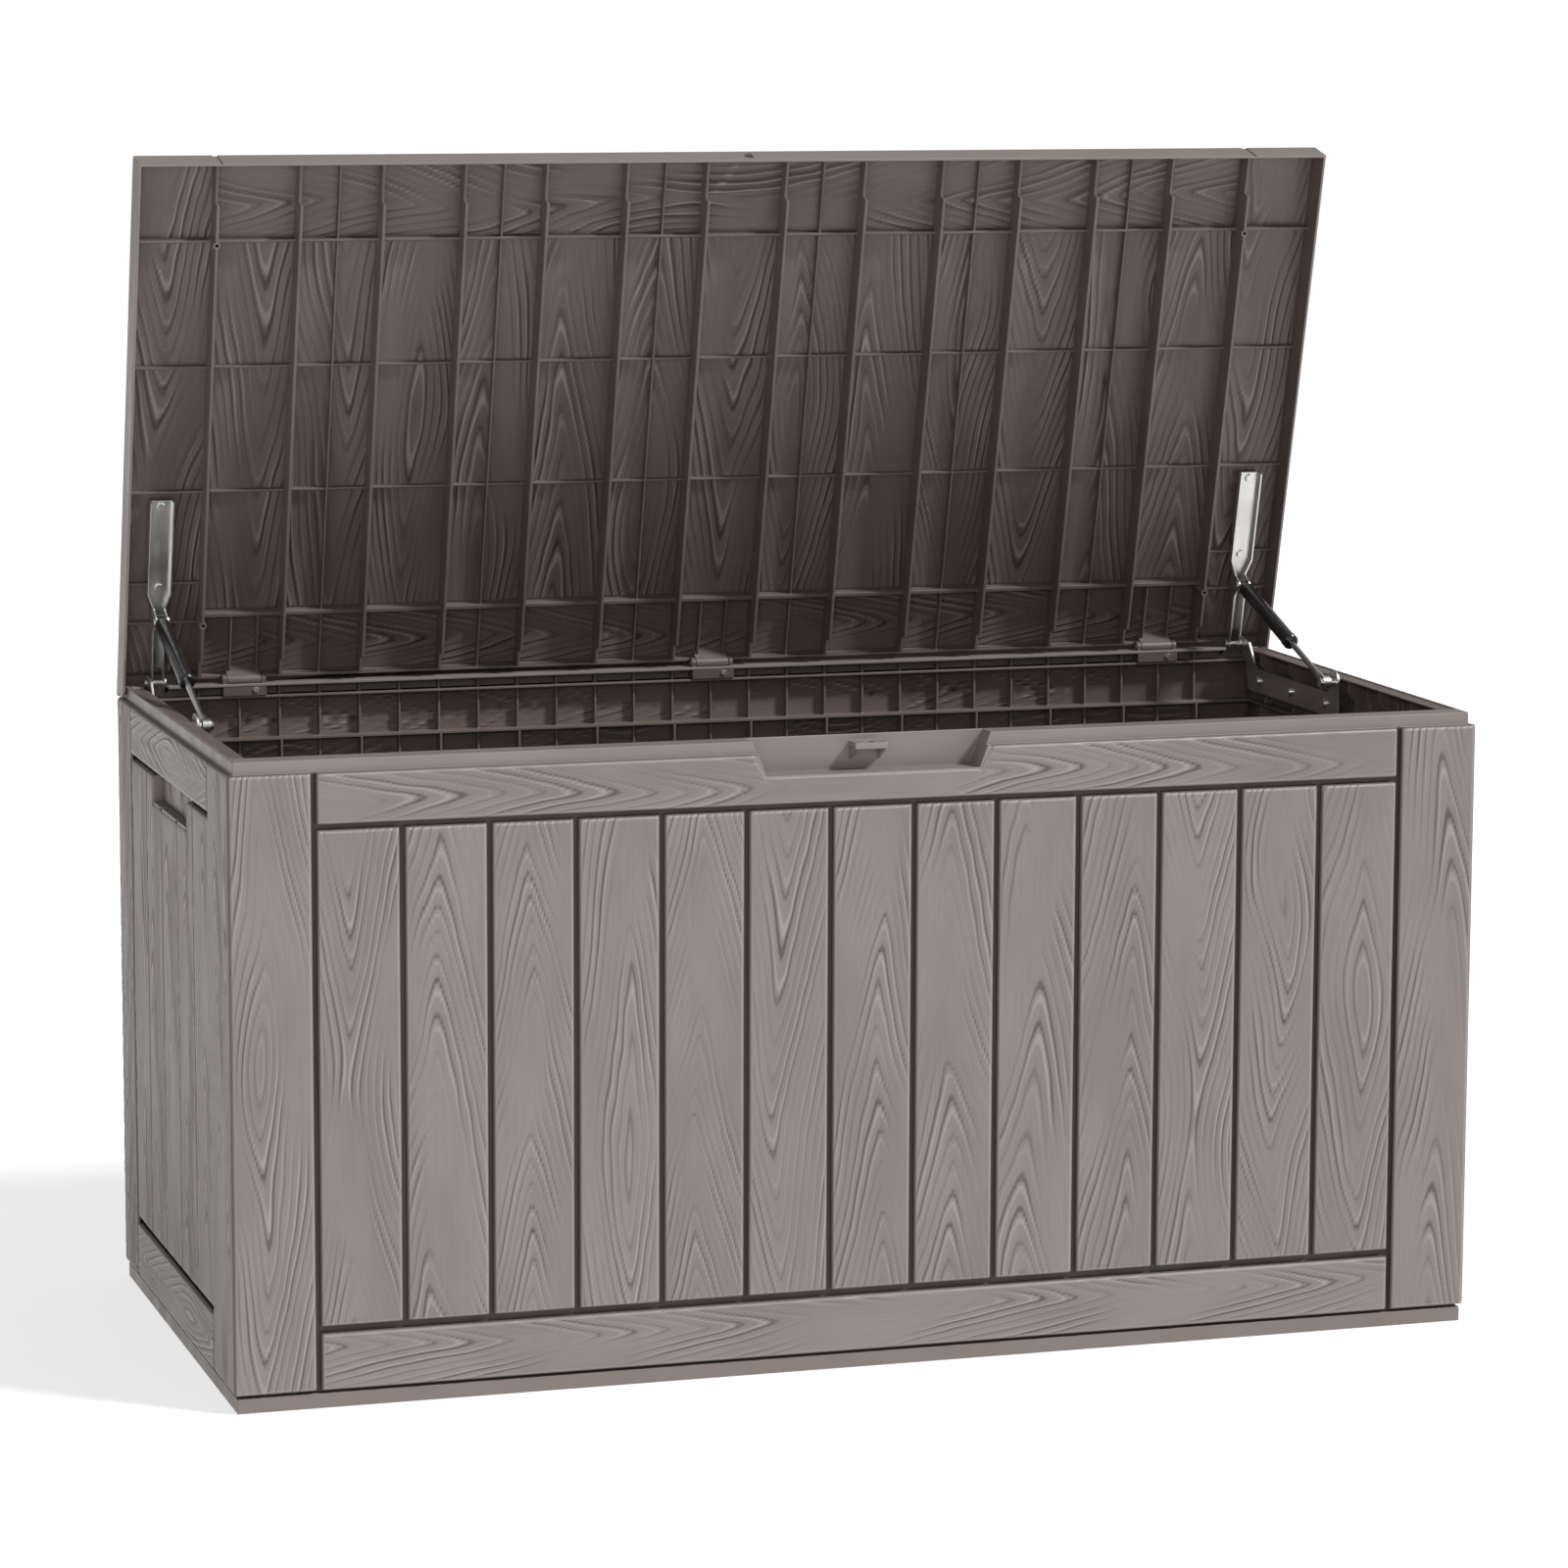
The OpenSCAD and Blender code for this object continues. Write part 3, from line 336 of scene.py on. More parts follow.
class Graph:
    """A short way to write a material's node tree. Methods return the socket that they made."""

    def __init__(self, name):
        self.material = bpy.data.materials.new(name)
        self.material.use_nodes = True
        self.tree = self.material.node_tree
        self.tree.nodes.clear()
        self.output = self.add("ShaderNodeOutputMaterial")
        self.shader = self.add("ShaderNodeBsdfPrincipled")
        self.link(self.shader.outputs["BSDF"], self.output.inputs["Surface"])

    def add(self, kind, **settings):
        node = self.tree.nodes.new(kind)
        for key, value in settings.items():
            setattr(node, key, value)
        return node

    def link(self, a, b):
        self.tree.links.new(a, b)

    def value(self, target, source):
        if hasattr(source, "is_linked"):
            self.link(source, target)
        else:
            target.default_value = source

    def attribute(self, name):
        return self.add("ShaderNodeAttribute", attribute_name=name)

    def coords(self):
        return self.add("ShaderNodeTexCoord").outputs["Object"]

    def scaled(self, vector, scale, location=(0, 0, 0)):
        node = self.add("ShaderNodeMapping")
        node.inputs["Scale"].default_value = scale
        node.inputs["Location"].default_value = location
        self.link(vector, node.inputs["Vector"])
        return node.outputs["Vector"]

    def noise(self, vector, scale, detail=3.0, rough=0.5):
        node = self.add("ShaderNodeTexNoise")
        node.inputs["Scale"].default_value = scale
        node.inputs["Detail"].default_value = detail
        node.inputs["Roughness"].default_value = rough
        self.link(vector, node.inputs["Vector"])
        return node.outputs["Fac"]

    def remap(self, source, low, high, to_low, to_high):
        node = self.add("ShaderNodeMapRange", interpolation_type="SMOOTHSTEP")
        self.value(node.inputs["Value"], source)
        limits = {"From Min": low, "From Max": high, "To Min": to_low, "To Max": to_high}
        for key, v in limits.items():
            node.inputs[key].default_value = v
        return node.outputs["Result"]

    def math(self, operation, a, b=0.0):
        node = self.add("ShaderNodeMath", operation=operation)
        self.value(node.inputs[0], a)
        self.value(node.inputs[1], b)
        return node.outputs["Value"]

    def mix(self, factor, a, b):
        node = self.add("ShaderNodeMix", data_type="RGBA")
        self.value(node.inputs["Factor"], factor)
        self.value(node.inputs["A"], a)
        self.value(node.inputs["B"], b)
        return node.outputs["Result"]

    def bump(self, height, distance, strength=1.0, normal=None):
        node = self.add("ShaderNodeBump")
        node.inputs["Distance"].default_value = distance
        node.inputs["Strength"].default_value = strength
        self.link(height, node.inputs["Height"])
        if normal is not None:
            self.link(normal, node.inputs["Normal"])
        return node.outputs["Normal"]

    def surface(self, colour, roughness, normal=None, **fixed):
        """The finished material. fixed names more shader inputs, _ standing for a space."""
        self.value(self.shader.inputs["Base Color"], colour)
        self.value(self.shader.inputs["Roughness"], roughness)
        if normal is not None:
            self.link(normal, self.shader.inputs["Normal"])
        for key, v in fixed.items():
            self.shader.inputs[key.replace("_", " ")].default_value = v
        return self.material


def board_material(name, pale, deep, line, highlight, shade, roughness=0.46):
    """Wood-grain resin: streaks and mottling along each board; painted shade in the ring lines and
    down the edges into the grooves, painted highlights on the ridges and where edges roll over."""
    g = Graph(name)
    where = g.attribute("board").outputs["Vector"]
    streak = g.noise(g.scaled(where, (420.0, 9.0, 1.0)), 1.0, 4.0, 0.6)
    cloud = g.noise(g.scaled(where, (16.0, 5.0, 1.0), (3.1, 1.7, 0.4)), 1.0, 3.0, 0.55)
    grit = g.noise(g.scaled(where, (2600.0, 1500.0, 1.0)), 1.0, 2.0, 0.5)
    colour = g.mix(g.remap(cloud, 0.3, 0.7, 0.0, 1.0), deep, pale)
    colour = g.mix(g.remap(g.attribute("tone").outputs["Fac"], 0.0, 1.0, 0.0, 0.35), colour, pale)
    colour = g.mix(g.remap(streak, 0.35, 0.75, 0.0, 0.1), colour, line)
    grain = g.attribute("grain").outputs["Fac"]
    # Painted shade in the embossed grain lines, and a painted highlight on the ridge beside each
    colour = g.mix(g.remap(grain, 0.06, 0.8, 0.0, 0.78), colour, line)
    colour = g.mix(g.remap(g.math("MULTIPLY", grain, -1.0), 0.15, 0.8, 0.0, 0.5), colour, highlight)
    edge = g.attribute("edge").outputs["Fac"]
    # Painted highlight where an edge starts to roll over
    lit = g.math("MULTIPLY", g.remap(edge, 0.0, 0.05, 0.0, 0.3), g.remap(edge, 0.1, 0.3, 1.0, 0.0))
    colour = g.mix(lit, colour, highlight)
    # Painted shade, dark brown, as the edge rolls down into the groove
    colour = g.mix(g.remap(edge, 0.15, 0.75, 0.0, 0.92), colour, shade)
    uneven = g.math("ADD", streak, g.math("MULTIPLY", cloud, 0.5))
    rough = g.remap(uneven, 0.5, 1.1, roughness - 0.06, roughness + 0.12)
    normal = g.bump(grit, 0.00005, 0.6, g.bump(streak, 0.00022, 0.8))
    return g.surface(colour, rough, normal)


CORE_ROUGH = 0.42


def core_material(name, pale, deep, groove, mask, outer):
    """Plain moulded resin of the CAD panels: pale where mask is 1, groove brown where outer is 1,
    and the darker colour of the inside elsewhere, partly painted shade."""
    g = Graph(name)
    where = g.coords()
    cloud = g.remap(g.noise(where, 14.0, 4.0, 0.55), 0.3, 0.7, 0.0, 1.0)
    grit = g.noise(where, 1900.0, 2.0, 0.5)
    sweep = g.noise(g.scaled(where, (30.0, 30.0, 6.0)), 1.0, 3.0, 0.5)
    pale_mix = g.mix(cloud, dimmed(pale, 0.93), pale)
    deep_mix = g.mix(cloud, dimmed(deep, 0.82), deep)
    colour = g.mix(mask(g, where), g.mix(outer(g, where), deep_mix, groove), pale_mix)
    rough = g.remap(sweep, 0.3, 0.7, CORE_ROUGH - 0.05, CORE_ROUGH + 0.1)
    return g.surface(colour, rough, g.bump(grit, 0.00004, 0.6, g.bump(sweep, 0.0004, 0.5)))


# ---- where the panels' own resin changes colour, in millimetres ----

BAND_FOOT = BOARD_TOP - 1.2
RIM_TOP = RIM - 2.9
FOOT_TOP = 14.2
# The planes just behind each wall's outer skin, grooves included
FRONT_SKIN = FACE_Y + 6.9
BACK_SKIN = BACK_Y - 4.7
END_SKIN = FACE_X - 6.9
LID_SKIN = LID_TOP - 2.2
# How far in the pale rim band reaches on the back and end walls
BACK_BAND = BACK_Y - 4.0
END_BAND = FACE_X - 8.2
# The pockets for fingers in the front, and for a hand in the ends, with a little to spare
SPARE = 1.5
RECESS_HALF = RECESS_TOP + 4.2
RECESS_FLOOR = RECESS_Z - 3.2
RECESS_BACK = FACE_Y + 28.1
GRIP_BACK = FACE_X - 20.9
# Thickness of the lid's pale front and end skirts
LID_RIM = 2.5


def axis_of(g, where, axis):
    """One coordinate of the shading point."""
    node = g.add("ShaderNodeSeparateXYZ")
    g.link(where, node.inputs[0])
    return node.outputs[axis]


def off_centre(g, where):
    """Distance from the middle of the box, to either side."""
    return g.math("ABSOLUTE", axis_of(g, where, "X"))


def lid_axis(g, where, direction):
    """Distance from the hinge line along a direction of the open lid."""
    turn = g.add("ShaderNodeVectorMath", operation="SUBTRACT")
    g.link(where, turn.inputs[0])
    turn.inputs[1].default_value = tuple(HINGE / 1000.0)
    reach = g.add("ShaderNodeVectorMath", operation="DOT_PRODUCT")
    g.link(turn.outputs[0], reach.inputs[0])
    reach.inputs[1].default_value = tuple(direction)
    return reach.outputs["Value"]


def over(g, value, limit):
    """1 where a distance is over a limit in millimetres, else 0."""
    return g.math("GREATER_THAN", value, limit / 1000.0)


def short(g, value, limit):
    """1 where a distance is short of a limit in millimetres, else 0."""
    return g.math("LESS_THAN", value, limit / 1000.0)


def both(g, a, b):
    return g.math("MULTIPLY", a, b)


def either(g, a, b):
    return g.math("MAXIMUM", a, b)


def between(g, value, low, high):
    return both(g, over(g, value, low), short(g, value, high))


def rim_mask(g, where):
    """The band along the top of a wall is pale."""
    return over(g, axis_of(g, where, "Z"), BAND_FOOT)


def back_mask(g, where):
    """The top of the rim and the outer side of the band are pale."""
    outside = both(g, rim_mask(g, where), over(g, axis_of(g, where, "Y"), BACK_BAND))
    return either(g, over(g, axis_of(g, where, "Z"), RIM_TOP), outside)


def front_mask(g, where):
    """The rim and the finger recess are pale."""
    inside = short(g, off_centre(g, where), RECESS_HALF)
    high = over(g, axis_of(g, where, "Z"), RECESS_FLOOR)
    notch = both(g, both(g, inside, high), short(g, axis_of(g, where, "Y"), RECESS_BACK))
    return either(g, rim_mask(g, where), notch)


def end_mask(g, where):
    """The rim and the hand grips are pale."""
    rim = both(g, rim_mask(g, where), over(g, off_centre(g, where), END_BAND))
    deep = over(g, off_centre(g, where), GRIP_BACK)
    high = between(g, axis_of(g, where, "Z"), GRIP[2] - SPARE, RAIL_LOW + SPARE)
    long = between(g, axis_of(g, where, "Y"), GRIP[0] - SPARE, GRIP[1] + SPARE)
    return either(g, rim, both(g, deep, both(g, high, long)))


def lid_mask(g, where):
    """The skirts at the front and the ends of the lid are pale."""
    front = short(g, lid_axis(g, where, ALONG), LID_FRONT + LID_RIM)
    ends = over(g, off_centre(g, where), LID_HALF - LID_RIM)
    return either(g, front, ends)


def foot_mask(g, where):
    """The foot of the box, up to the level where the walls stand on it."""
    return short(g, axis_of(g, where, "Z"), FOOT_TOP)


def front_outer(g, where):
    return short(g, axis_of(g, where, "Y"), FRONT_SKIN)


def back_outer(g, where):
    return over(g, axis_of(g, where, "Y"), BACK_SKIN)


def end_outer(g, where):
    return over(g, off_centre(g, where), END_SKIN)


def lid_outer(g, where):
    """The grooves in the top of the lid."""
    return over(g, lid_axis(g, where, OVER), LID_SKIN)


def metal_material(name, colour, roughness, grain, metallic=1.0, coat=0.0):
    """Plated or painted metal: drawn grain and faint clouds in its tint and gloss."""
    g = Graph(name)
    where = g.coords()
    cloud = g.noise(where, 24.0, 2.0, 0.5)
    drawn = g.noise(g.scaled(where, grain), 1.0, 2.0, 0.5)
    wear = g.math("ADD", g.math("MULTIPLY", cloud, 0.6), g.math("MULTIPLY", drawn, 0.4))
    tint = g.mix(g.remap(wear, 0.38, 0.62, 0.0, 1.0), colour, dimmed(colour, 0.9))
    uneven = g.remap(wear, 0.38, 0.62, roughness * 0.85, roughness * 1.15)
    return g.surface(tint, uneven, Metallic=metallic, Coat_Weight=coat)


# Boards: two tones of the resin, the grain lines with their painted shade, painted highlights on
# ridges and edges, and painted shade in the grooves
PALE = srgb(127, 119, 115)
DEEP = srgb(117, 109, 105)
LINE = srgb(66, 57, 53)
HIGHLIGHT = srgb(160, 152, 147)
EDGE_BROWN = srgb(78, 67, 61)
# The end walls have darker painted shade in the grain lines and brighter painted highlights, in
# place of a light raking across them
END_PALE = srgb(126, 118, 114)
END_DEEP = srgb(114, 106, 102)
END_LINE = srgb(34, 28, 25)
END_HIGHLIGHT = srgb(190, 183, 177)
# The inside is darker, partly its own darker resin and partly painted shade, and glossier
INNER = srgb(106, 95, 90)
INNER_DEEP = srgb(90, 79, 74)
INNER_LINE = srgb(42, 35, 32)
INNER_HIGHLIGHT = srgb(160, 149, 143)
INNER_ROUGH = 0.36
# The grooves between the boards, and the foot
BROWN = srgb(52, 42, 37)
FOOT = srgb(116, 106, 101)
STEEL = (0.74, 0.73, 0.72, 1.0)
BRIGHT_STEEL = (0.84, 0.84, 0.84, 1.0)
BLACK = (0.012, 0.012, 0.013, 1.0)

board_skin = board_material("resin_boards", PALE, DEEP, LINE, HIGHLIGHT, EDGE_BROWN)
end_skin = board_material("resin_end_boards", END_PALE, END_DEEP, END_LINE, END_HIGHLIGHT, EDGE_BROWN)
inner_skin = board_material("resin_lid_underside", INNER, INNER_DEEP, INNER_LINE, INNER_HIGHLIGHT,
                            INNER_DEEP, INNER_ROUGH)
core_front = core_material("resin_front_core", PALE, INNER, BROWN, front_mask, front_outer)
core_wall = core_material("resin_wall_core", PALE, INNER, BROWN, back_mask, back_outer)
core_end = core_material("resin_end_core", PALE, INNER, BROWN, end_mask, end_outer)
core_lid = core_material("resin_lid_core", PALE, INNER, BROWN, lid_mask, lid_outer)
core_floor = core_material("resin_floor_core", FOOT, INNER, INNER, foot_mask, foot_mask)
core_hinge = core_material("resin_hinge_core", INNER_DEEP, INNER_LINE, INNER_LINE, rim_mask,
                           foot_mask)
plated = metal_material("plated_steel", STEEL, 0.34, (1100.0, 40.0, 40.0))
polished = metal_material("polished_rod_steel", BRIGHT_STEEL, 0.16, (500.0, 40.0, 40.0))
lacquer = metal_material("black_lacquer", BLACK, 0.24, (300.0, 300.0, 300.0), metallic=0.0,
                         coat=0.6)

# ---- CAD nodes: rounded edges and their own finishes ----

# Vertices closer than this are one, and faces within FLAT are one face; edges sharper than SHARP
# are rounded
SAME_POINT = 2e-6
FLAT = math.radians(0.4)
SHARP = math.radians(38.0)
BEVEL_SEGMENTS = 2


def dress(name, material, bevel):
    """Rounds the sharp edges of a CAD node with modifiers and gives it a finish."""
    obj = nodes[name]
    obj.data.materials.clear()
    obj.data.materials.append(material)
    obj.data.polygons.foreach_set("use_smooth", np.ones(len(obj.data.polygons), bool))
    weld = obj.modifiers.new("weld", "WELD")
    weld.merge_threshold = SAME_POINT
    flat = obj.modifiers.new("flat", "DECIMATE")
    flat.decimate_type = "DISSOLVE"
    flat.angle_limit = FLAT
    edge = obj.modifiers.new("edge", "BEVEL")
    edge.width = bevel / 1000.0
    edge.segments = BEVEL_SEGMENTS
    edge.limit_method = "ANGLE"
    edge.angle_limit = SHARP
    edge.use_clamp_overlap = False
    edge.harden_normals = False
    shade = obj.modifiers.new("shade", "WEIGHTED_NORMAL")
    shade.keep_sharp = False
    shade.weight = 80


# Node: its material and the width of its rounded edges in millimetres
finishes = {
    "front_panel": (core_front, 0.9), "back_panel": (core_wall, 0.6),
    "left_panel": (core_end, 0.7), "right_panel": (core_end, 0.7),
    "floor_panel": (core_floor, 0.8), "lid_panel": (core_lid, 0.55),
    "hinge_block_left": (core_hinge, 0.35), "hinge_block_middle": (core_hinge, 0.35),
    "hinge_block_right": (core_hinge, 0.35),
    "hinge_block_screws": (plated, 0.3), "hinge_pins": (plated, 0.3),
}
for side in ("left", "right"):
    for part in ("lid_arm", "lid_arm_screws", "arm_rivet", "upper_pin", "bracket", "bracket_screws",
                 "bracket_stud", "rod_end"):
        finishes[f"{side}_{part}"] = (plated, 0.3)
    for part in ("strut_eye", "strut_cylinder", "strut_gland"):
        finishes[f"{side}_{part}"] = (lacquer, 0.25)
    for part in ("strut_rod", "rod_end_pin"):
        finishes[f"{side}_{part}"] = (polished, 0.25)
for name, (material, bevel) in finishes.items():
    dress(name, material, bevel)

# ---- boards on the walls ----


def wall_field(skin, origin, across, out, start, pitch, count, cut=None, **grid):
    """The planks of one wall. across is the direction from plank to plank and origin its zero
    point; cut gives the top and extra of a plank that is cut out."""
    for i in range(count):
        s0 = start + i * pitch + GAP / 2
        top, extra = (cut(s0, pitch - GAP) if cut else (None, ()))
        skin.board(origin + across * s0 + Z_AXIS * PLANK_LOW - out * PLANK_SET, across, Z_AXIS, out,
                   pitch - GAP, PLANK_TOP - PLANK_LOW, "t", top=top, extra=extra, **grid)


# Grid lines across each slope of the finger recess, and how far they start beyond it
SLOPE_LINES = 14
SLOPE_SPARE = 0.5
# Half the width of the step where a plank is cut off under the hand grip
STEP = 0.05


def recess_top(s0):
    """The front's top rail is cut down round the finger recess; s0 is where the rail starts."""
    full = BOARD_TOP - RAIL_LOW
    cut = RECESS_Z - RAIL_LOW

    def top(s):
        x = abs(s0 + s)
        if x >= RECESS_TOP:
            return full
        if x <= RECESS_LOW:
            return cut
        return cut + (full - cut) * (x - RECESS_LOW) / (RECESS_TOP - RECESS_LOW)

    extra = []
    for side in (-1, 1):
        for x in np.linspace(RECESS_LOW - SLOPE_SPARE, RECESS_TOP + SLOPE_SPARE, SLOPE_LINES):
            extra.append(side * x - s0)
        extra += [side * RECESS_LOW - s0, side * RECESS_TOP - s0]
    return top, extra


def grip_cut(s0, width):
    """Planks stop under the hand grip."""
    full = PLANK_TOP - PLANK_LOW
    cut = GRIP[2] - GRIP_EDGE - PLANK_LOW
    lo, hi = GRIP[0] - GRIP_EDGE - s0, GRIP[1] + GRIP_EDGE - s0
    if hi <= 0 or lo >= width:
        return None, ()

    def top(s):
        return cut if lo < s < hi else full

    extra = [v for e in (lo, hi) for v in (e - STEP, e + STEP) if 0 < v < width]
    return top, extra


# The front planks are two pieces, so that neither holds too many triangles
front_at = Y_AXIS * FACE_Y
for name, first, count in (("left", 0, 6), ("right", 6, 7)):
    skin = Skin(f"front_planks_{name}", 11 + first)
    wall_field(skin, front_at, X_AXIS, -Y_AXIS, -FIELD + first * PITCH, PITCH, count)
    skin.make("box", board_skin)

front_frame = Skin("front_frame_boards", 12)
rail_x = -FIELD + GAP / 2
rail_w = 2 * FIELD - GAP
top, extra = recess_top(rail_x)
front_frame.board(front_at + X_AXIS * rail_x + Z_AXIS * RAIL_LOW, X_AXIS, Z_AXIS, -Y_AXIS, rail_w,
                  BOARD_TOP - RAIL_LOW, "s", top=top, extra=extra)
front_frame.board(front_at + X_AXIS * rail_x + Z_AXIS * BOARD_LOW, X_AXIS, Z_AXIS, -Y_AXIS, rail_w,
                  BASE_RAIL - BOARD_LOW, "s")
stile_w = FACE_X - FIELD - GAP / 2
for x in (-FACE_X, FIELD + GAP / 2):
    front_frame.board(front_at + X_AXIS * x + Z_AXIS * BOARD_LOW, X_AXIS, Z_AXIS, -Y_AXIS, stile_w,
                      BOARD_TOP - BOARD_LOW, "t")
front_frame.make("box", board_skin)

# Each end: the front panel's return round the corner, the front stile tight behind it, the rear
# stile, the two rails, and the planks between them
CORNER_AT = FACE_Y - PROUD + EDGE + 0.6
TIGHT = 1.5
for side, name in ((-1, "left"), (1, "right")):
    skin = Skin(f"{name}_end_boards", 20 + side)
    out = X_AXIS * side
    face = X_AXIS * side * FACE_X
    foot = face + Z_AXIS * BOARD_LOW
    height = BOARD_TOP - BOARD_LOW
    skin.board(foot + Y_AXIS * CORNER_AT, Y_AXIS, Z_AXIS, out, CORNER_BACK - CORNER_AT, height, "t",
               radii=(0, EDGE, EDGE, EDGE), grow=(0, 0, GROW, GROW))
    skin.board(foot + Y_AXIS * SIDE_FRONT, Y_AXIS, Z_AXIS, out, SIDE_FIELD - GAP / 2 - SIDE_FRONT,
               height, "t", radii=(TIGHT, EDGE, EDGE, EDGE), grow=(0, GROW, GROW, GROW))
    end = SIDE_FIELD + SIDE_PLANKS * SIDE_PITCH
    skin.board(foot + Y_AXIS * (end + GAP / 2), Y_AXIS, Z_AXIS, out, BACK_Y - end - GAP / 2, height,
               "t")
    width = SIDE_PLANKS * SIDE_PITCH - GAP
    for low, high in ((RAIL_LOW, BOARD_TOP), (BOARD_LOW, BASE_RAIL)):
        skin.board(face + Y_AXIS * (SIDE_FIELD + GAP / 2) + Z_AXIS * low, Y_AXIS, Z_AXIS, out,
                   width, high - low, "s")
    wall_field(skin, face, Y_AXIS, out, SIDE_FIELD, SIDE_PITCH, SIDE_PLANKS, cut=grip_cut)
    skin.make("box", end_skin)

# Faces that the photo doesn't show get a wider grid
plain_grid = dict(fine=1.8, coarse=8.0)
back_at = Y_AXIS * BACK_Y
back = Skin("back_boards", 31)
wall_field(back, back_at, X_AXIS, Y_AXIS, -FIELD, PITCH, PLANKS, **plain_grid)
for low, high in ((RAIL_LOW, BOARD_TOP), (BOARD_LOW, BASE_RAIL)):
    back.board(back_at + X_AXIS * rail_x + Z_AXIS * low, X_AXIS, Z_AXIS, Y_AXIS, rail_w, high - low,
               "s", **plain_grid)
for x0, x1 in ((-BACK_HALF, -FIELD - GAP / 2), (FIELD + GAP / 2, BACK_HALF)):
    back.board(back_at + X_AXIS * x0 + Z_AXIS * BOARD_LOW, X_AXIS, Z_AXIS, Y_AXIS, x1 - x0,
               BOARD_TOP - BOARD_LOW, "t", **plain_grid)
back.make("box", board_skin)

# ---- grain on the inner faces of the walls, between the ribs ----

square = dict(radii=(0, 0, 0, 0), grow=(0, 0, 0, 0))
inside = dict(proud=2.0, skirt=2.4, fine=1.9, coarse=9.0, relief=1.8, **square)
INSIDE_EDGE = 2.0
BACK_GRAIN_TOP = RIM - 14.0
# The grain of each end is one board from the tray up to this height above it
END_GRAIN_HIGH = RIM - 24.0
END_GRAIN_LONG = 455.0
inner_back = Skin("back_inner_grain", 61)
inner_half = BACK_HALF - INSIDE_EDGE
for low, high in ((TRAY, SHELF), (SHELF, BACK_GRAIN_TOP)):
    inner_back.board(Y_AXIS * INSIDE_Y - X_AXIS * inner_half + Z_AXIS * low, X_AXIS, Z_AXIS,
                     -Y_AXIS, 2 * inner_half, high - low, "s", **inside)
inner_back.make("box", inner_skin)
inner_ends = Skin("end_inner_grain", 62)
for side in (-1, 1):
    inner_ends.board(X_AXIS * side * INSIDE_X + Y_AXIS * (SIDE_FRONT + INSIDE_EDGE) + Z_AXIS * TRAY,
                     Y_AXIS, Z_AXIS, -side * X_AXIS, END_GRAIN_LONG, END_GRAIN_HIGH, "t", **inside)
inner_ends.make("box", inner_skin)

# ---- boards on both faces of the lid ----


def lid_point(x, a, n):
    """A point on the open lid: x across the box, a along the lid and n out of its top."""
    return HINGE + X_AXIS * x + ALONG * a + OVER * n


# The underside: planks between the ribs, then rails and stiles round them
flat = dict(proud=2.5, skirt=2.9, fine=1.1, relief=2.3, **square)
under_front = LID_FRONT + SKIRT
under = Skin("lid_underside_planks", 41)
for i in range(PLANKS):
    under.board(lid_point(-FIELD + i * PITCH, LID_RAIL, LID_UNDER), X_AXIS, ALONG, -OVER, PITCH,
                LID_REAR - LID_RAIL, "t", **flat)
under.make("lid", inner_skin)
under = Skin("lid_underside_frame", 42)
for a0, a1 in ((under_front, LID_RAIL), (LID_REAR, UNDER_TAIL)):
    under.board(lid_point(-FIELD, a0, LID_UNDER), X_AXIS, ALONG, -OVER, 2 * FIELD, a1 - a0, "s",
                **flat)
for x0, x1 in ((-LID_HALF + SKIRT, -FIELD), (FIELD, LID_HALF - SKIRT)):
    under.board(lid_point(x0, under_front, LID_UNDER), X_AXIS, ALONG, -OVER, x1 - x0,
                UNDER_TAIL - under_front, "t", **flat)
under.make("lid", inner_skin)

# The top: thin boards with a tighter roll than those on the walls
ROLL = 1.8
thin = dict(proud=1.2, relief=0.9, skirt=ROLL, radii=(ROLL,) * 4, **plain_grid)
top_front = LID_FRONT + TOP_EDGE
upper = Skin("lid_top_boards", 51)
for i in range(PLANKS):
    upper.board(lid_point(-FIELD + i * PITCH + GAP / 2, LID_RAIL + GAP / 2, LID_TOP), X_AXIS, ALONG,
                OVER, PITCH - GAP, LID_REAR - LID_RAIL - GAP, "t", **thin)
for a0, a1 in ((top_front, LID_RAIL - GAP / 2), (LID_REAR + GAP / 2, LID_TAIL)):
    upper.board(lid_point(-FIELD + GAP / 2, a0, LID_TOP), X_AXIS, ALONG, OVER, 2 * FIELD - GAP,
                a1 - a0, "s", grow=(GROW, GROW, 0, 0), **thin)
for x0, x1, grow in ((-LID_HALF, -FIELD - GAP / 2, (0, GROW, 0, 0)),
                     (FIELD + GAP / 2, LID_HALF, (GROW, 0, 0, 0))):
    upper.board(lid_point(x0, top_front, LID_TOP), X_AXIS, ALONG, OVER, x1 - x0,
                LID_TAIL - top_front, "t", grow=grow, **thin)
upper.make("lid", board_skin)

# ---- floor, light and camera ----

FLOOR_SIZE = 30.0
FLOOR_DROP = 0.0005
FLOOR_GREYS = ((0.48, 0.48, 0.485, 1.0), (0.52, 0.52, 0.52, 1.0))
WHITE = (1.0, 1.0, 1.0, 1.0)
# The ground glows a little; the sky is white where the camera sees it and dimmer as a light
FLOOR_GLOW = 0.66
SKY_LIGHT = 0.30
SKY_SEEN = 1.0
# A soft sun from the upper right in front of the box throws the shadow to the left
KEY_POWER = 3.2
KEY_ANGLE = math.radians(9.0)
KEY_TOWARDS = Vector((-0.62, 0.47, -0.80))
# A fill near the camera lights the front
FILL_POWER = 30.0
FILL_AT = Vector((-1.6, -4.2, 1.6))
FILL_TARGET = Vector((0.0, 0.0, 0.6))
FILL_SIZE = (1.2, 1.0)

bpy.ops.mesh.primitive_plane_add(size=FLOOR_SIZE, location=(0, 0, -FLOOR_DROP))
floor = bpy.context.active_object
floor.name = "pale_floor"
g = Graph("pale_floor")
grey = g.noise(g.coords(), 3.0, 3.0, 0.5)
floor.data.materials.append(g.surface(g.mix(grey, *FLOOR_GREYS), 0.8, Emission_Color=WHITE,
                                      Emission_Strength=FLOOR_GLOW))

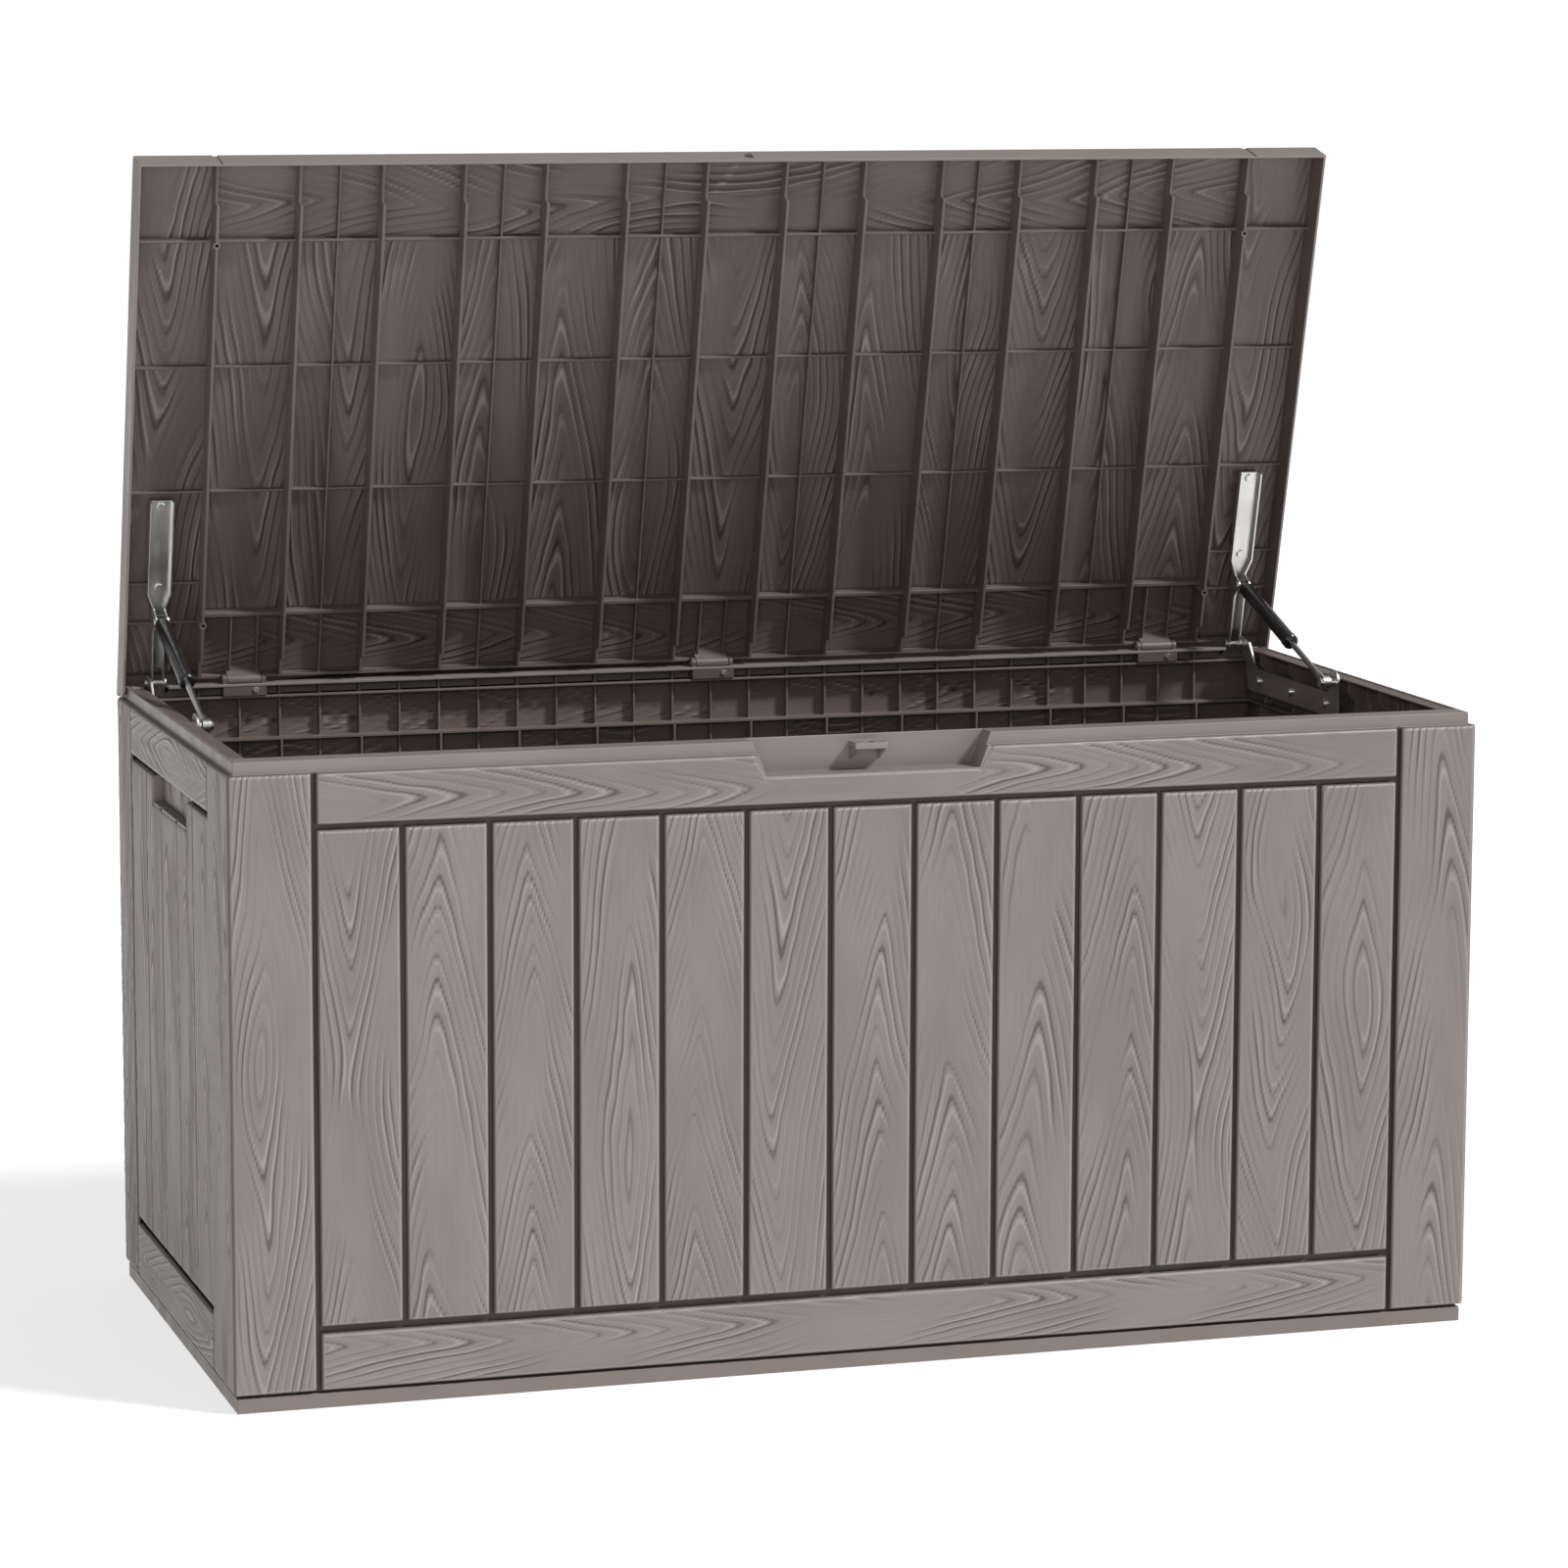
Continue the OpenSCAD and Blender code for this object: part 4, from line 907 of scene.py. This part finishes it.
world = bpy.data.worlds.new("studio")
bpy.context.scene.world = world
world.use_nodes = True
sky = world.node_tree.nodes["Background"]
sky.inputs["Color"].default_value = WHITE
seen = world.node_tree.nodes.new("ShaderNodeLightPath")
level = world.node_tree.nodes.new("ShaderNodeMapRange")
level.inputs["To Min"].default_value = SKY_LIGHT
level.inputs["To Max"].default_value = SKY_SEEN
world.node_tree.links.new(seen.outputs["Is Camera Ray"], level.inputs["Value"])
world.node_tree.links.new(level.outputs["Result"], sky.inputs["Strength"])


def place_light(light, power, towards, position=(0.0, 0.0, 0.0)):
    """Puts a light in the scene, shining along a direction."""
    light.energy = power
    obj = bpy.data.objects.new(light.name, light)
    bpy.context.scene.collection.objects.link(obj)
    obj.location = position
    obj.rotation_euler = towards.to_track_quat("-Z", "Y").to_euler()


key = bpy.data.lights.new("key", "SUN")
key.angle = KEY_ANGLE
place_light(key, KEY_POWER, KEY_TOWARDS)
fill = bpy.data.lights.new("fill", "AREA")
fill.shape = "RECTANGLE"
fill.size, fill.size_y = FILL_SIZE
place_light(fill, FILL_POWER, FILL_TARGET - FILL_AT, FILL_AT)

# The photo's camera, fitted to the corners of the box: lens in millimetres, place in metres and
# angles in radians
VIEW = dict(lens=122.74, place=(-1.5349, -4.9376, 1.3069), yaw=0.30118, pitch=0.15191, roll=0.00346)


def photo_camera(lens, place, yaw, pitch, roll):
    """Camera looking along +Y turned right by yaw, down by pitch, and rolled."""
    ground = math.cos(pitch)
    ahead = Vector((math.sin(yaw) * ground, math.cos(yaw) * ground, -math.sin(pitch)))
    right = Vector((math.cos(yaw), -math.sin(yaw), 0.0))
    up = right.cross(ahead)
    across = right * math.cos(roll) + up * math.sin(roll)
    rise = up * math.cos(roll) - right * math.sin(roll)
    data = bpy.data.cameras.new("photo_view")
    data.lens = lens
    data.sensor_width = 36.0
    data.sensor_fit = "HORIZONTAL"
    data.clip_start, data.clip_end = 0.1, 60.0
    obj = bpy.data.objects.new("photo_view", data)
    bpy.context.scene.collection.objects.link(obj)
    turn = Matrix((across, rise, -ahead)).transposed().to_4x4()
    obj.matrix_world = Matrix.Translation(place) @ turn
    bpy.context.scene.camera = obj


photo_camera(**VIEW)
bpy.context.scene.view_settings.view_transform = "Standard"
bpy.context.scene.view_settings.look = "None"

bpy.context.view_layer.update()
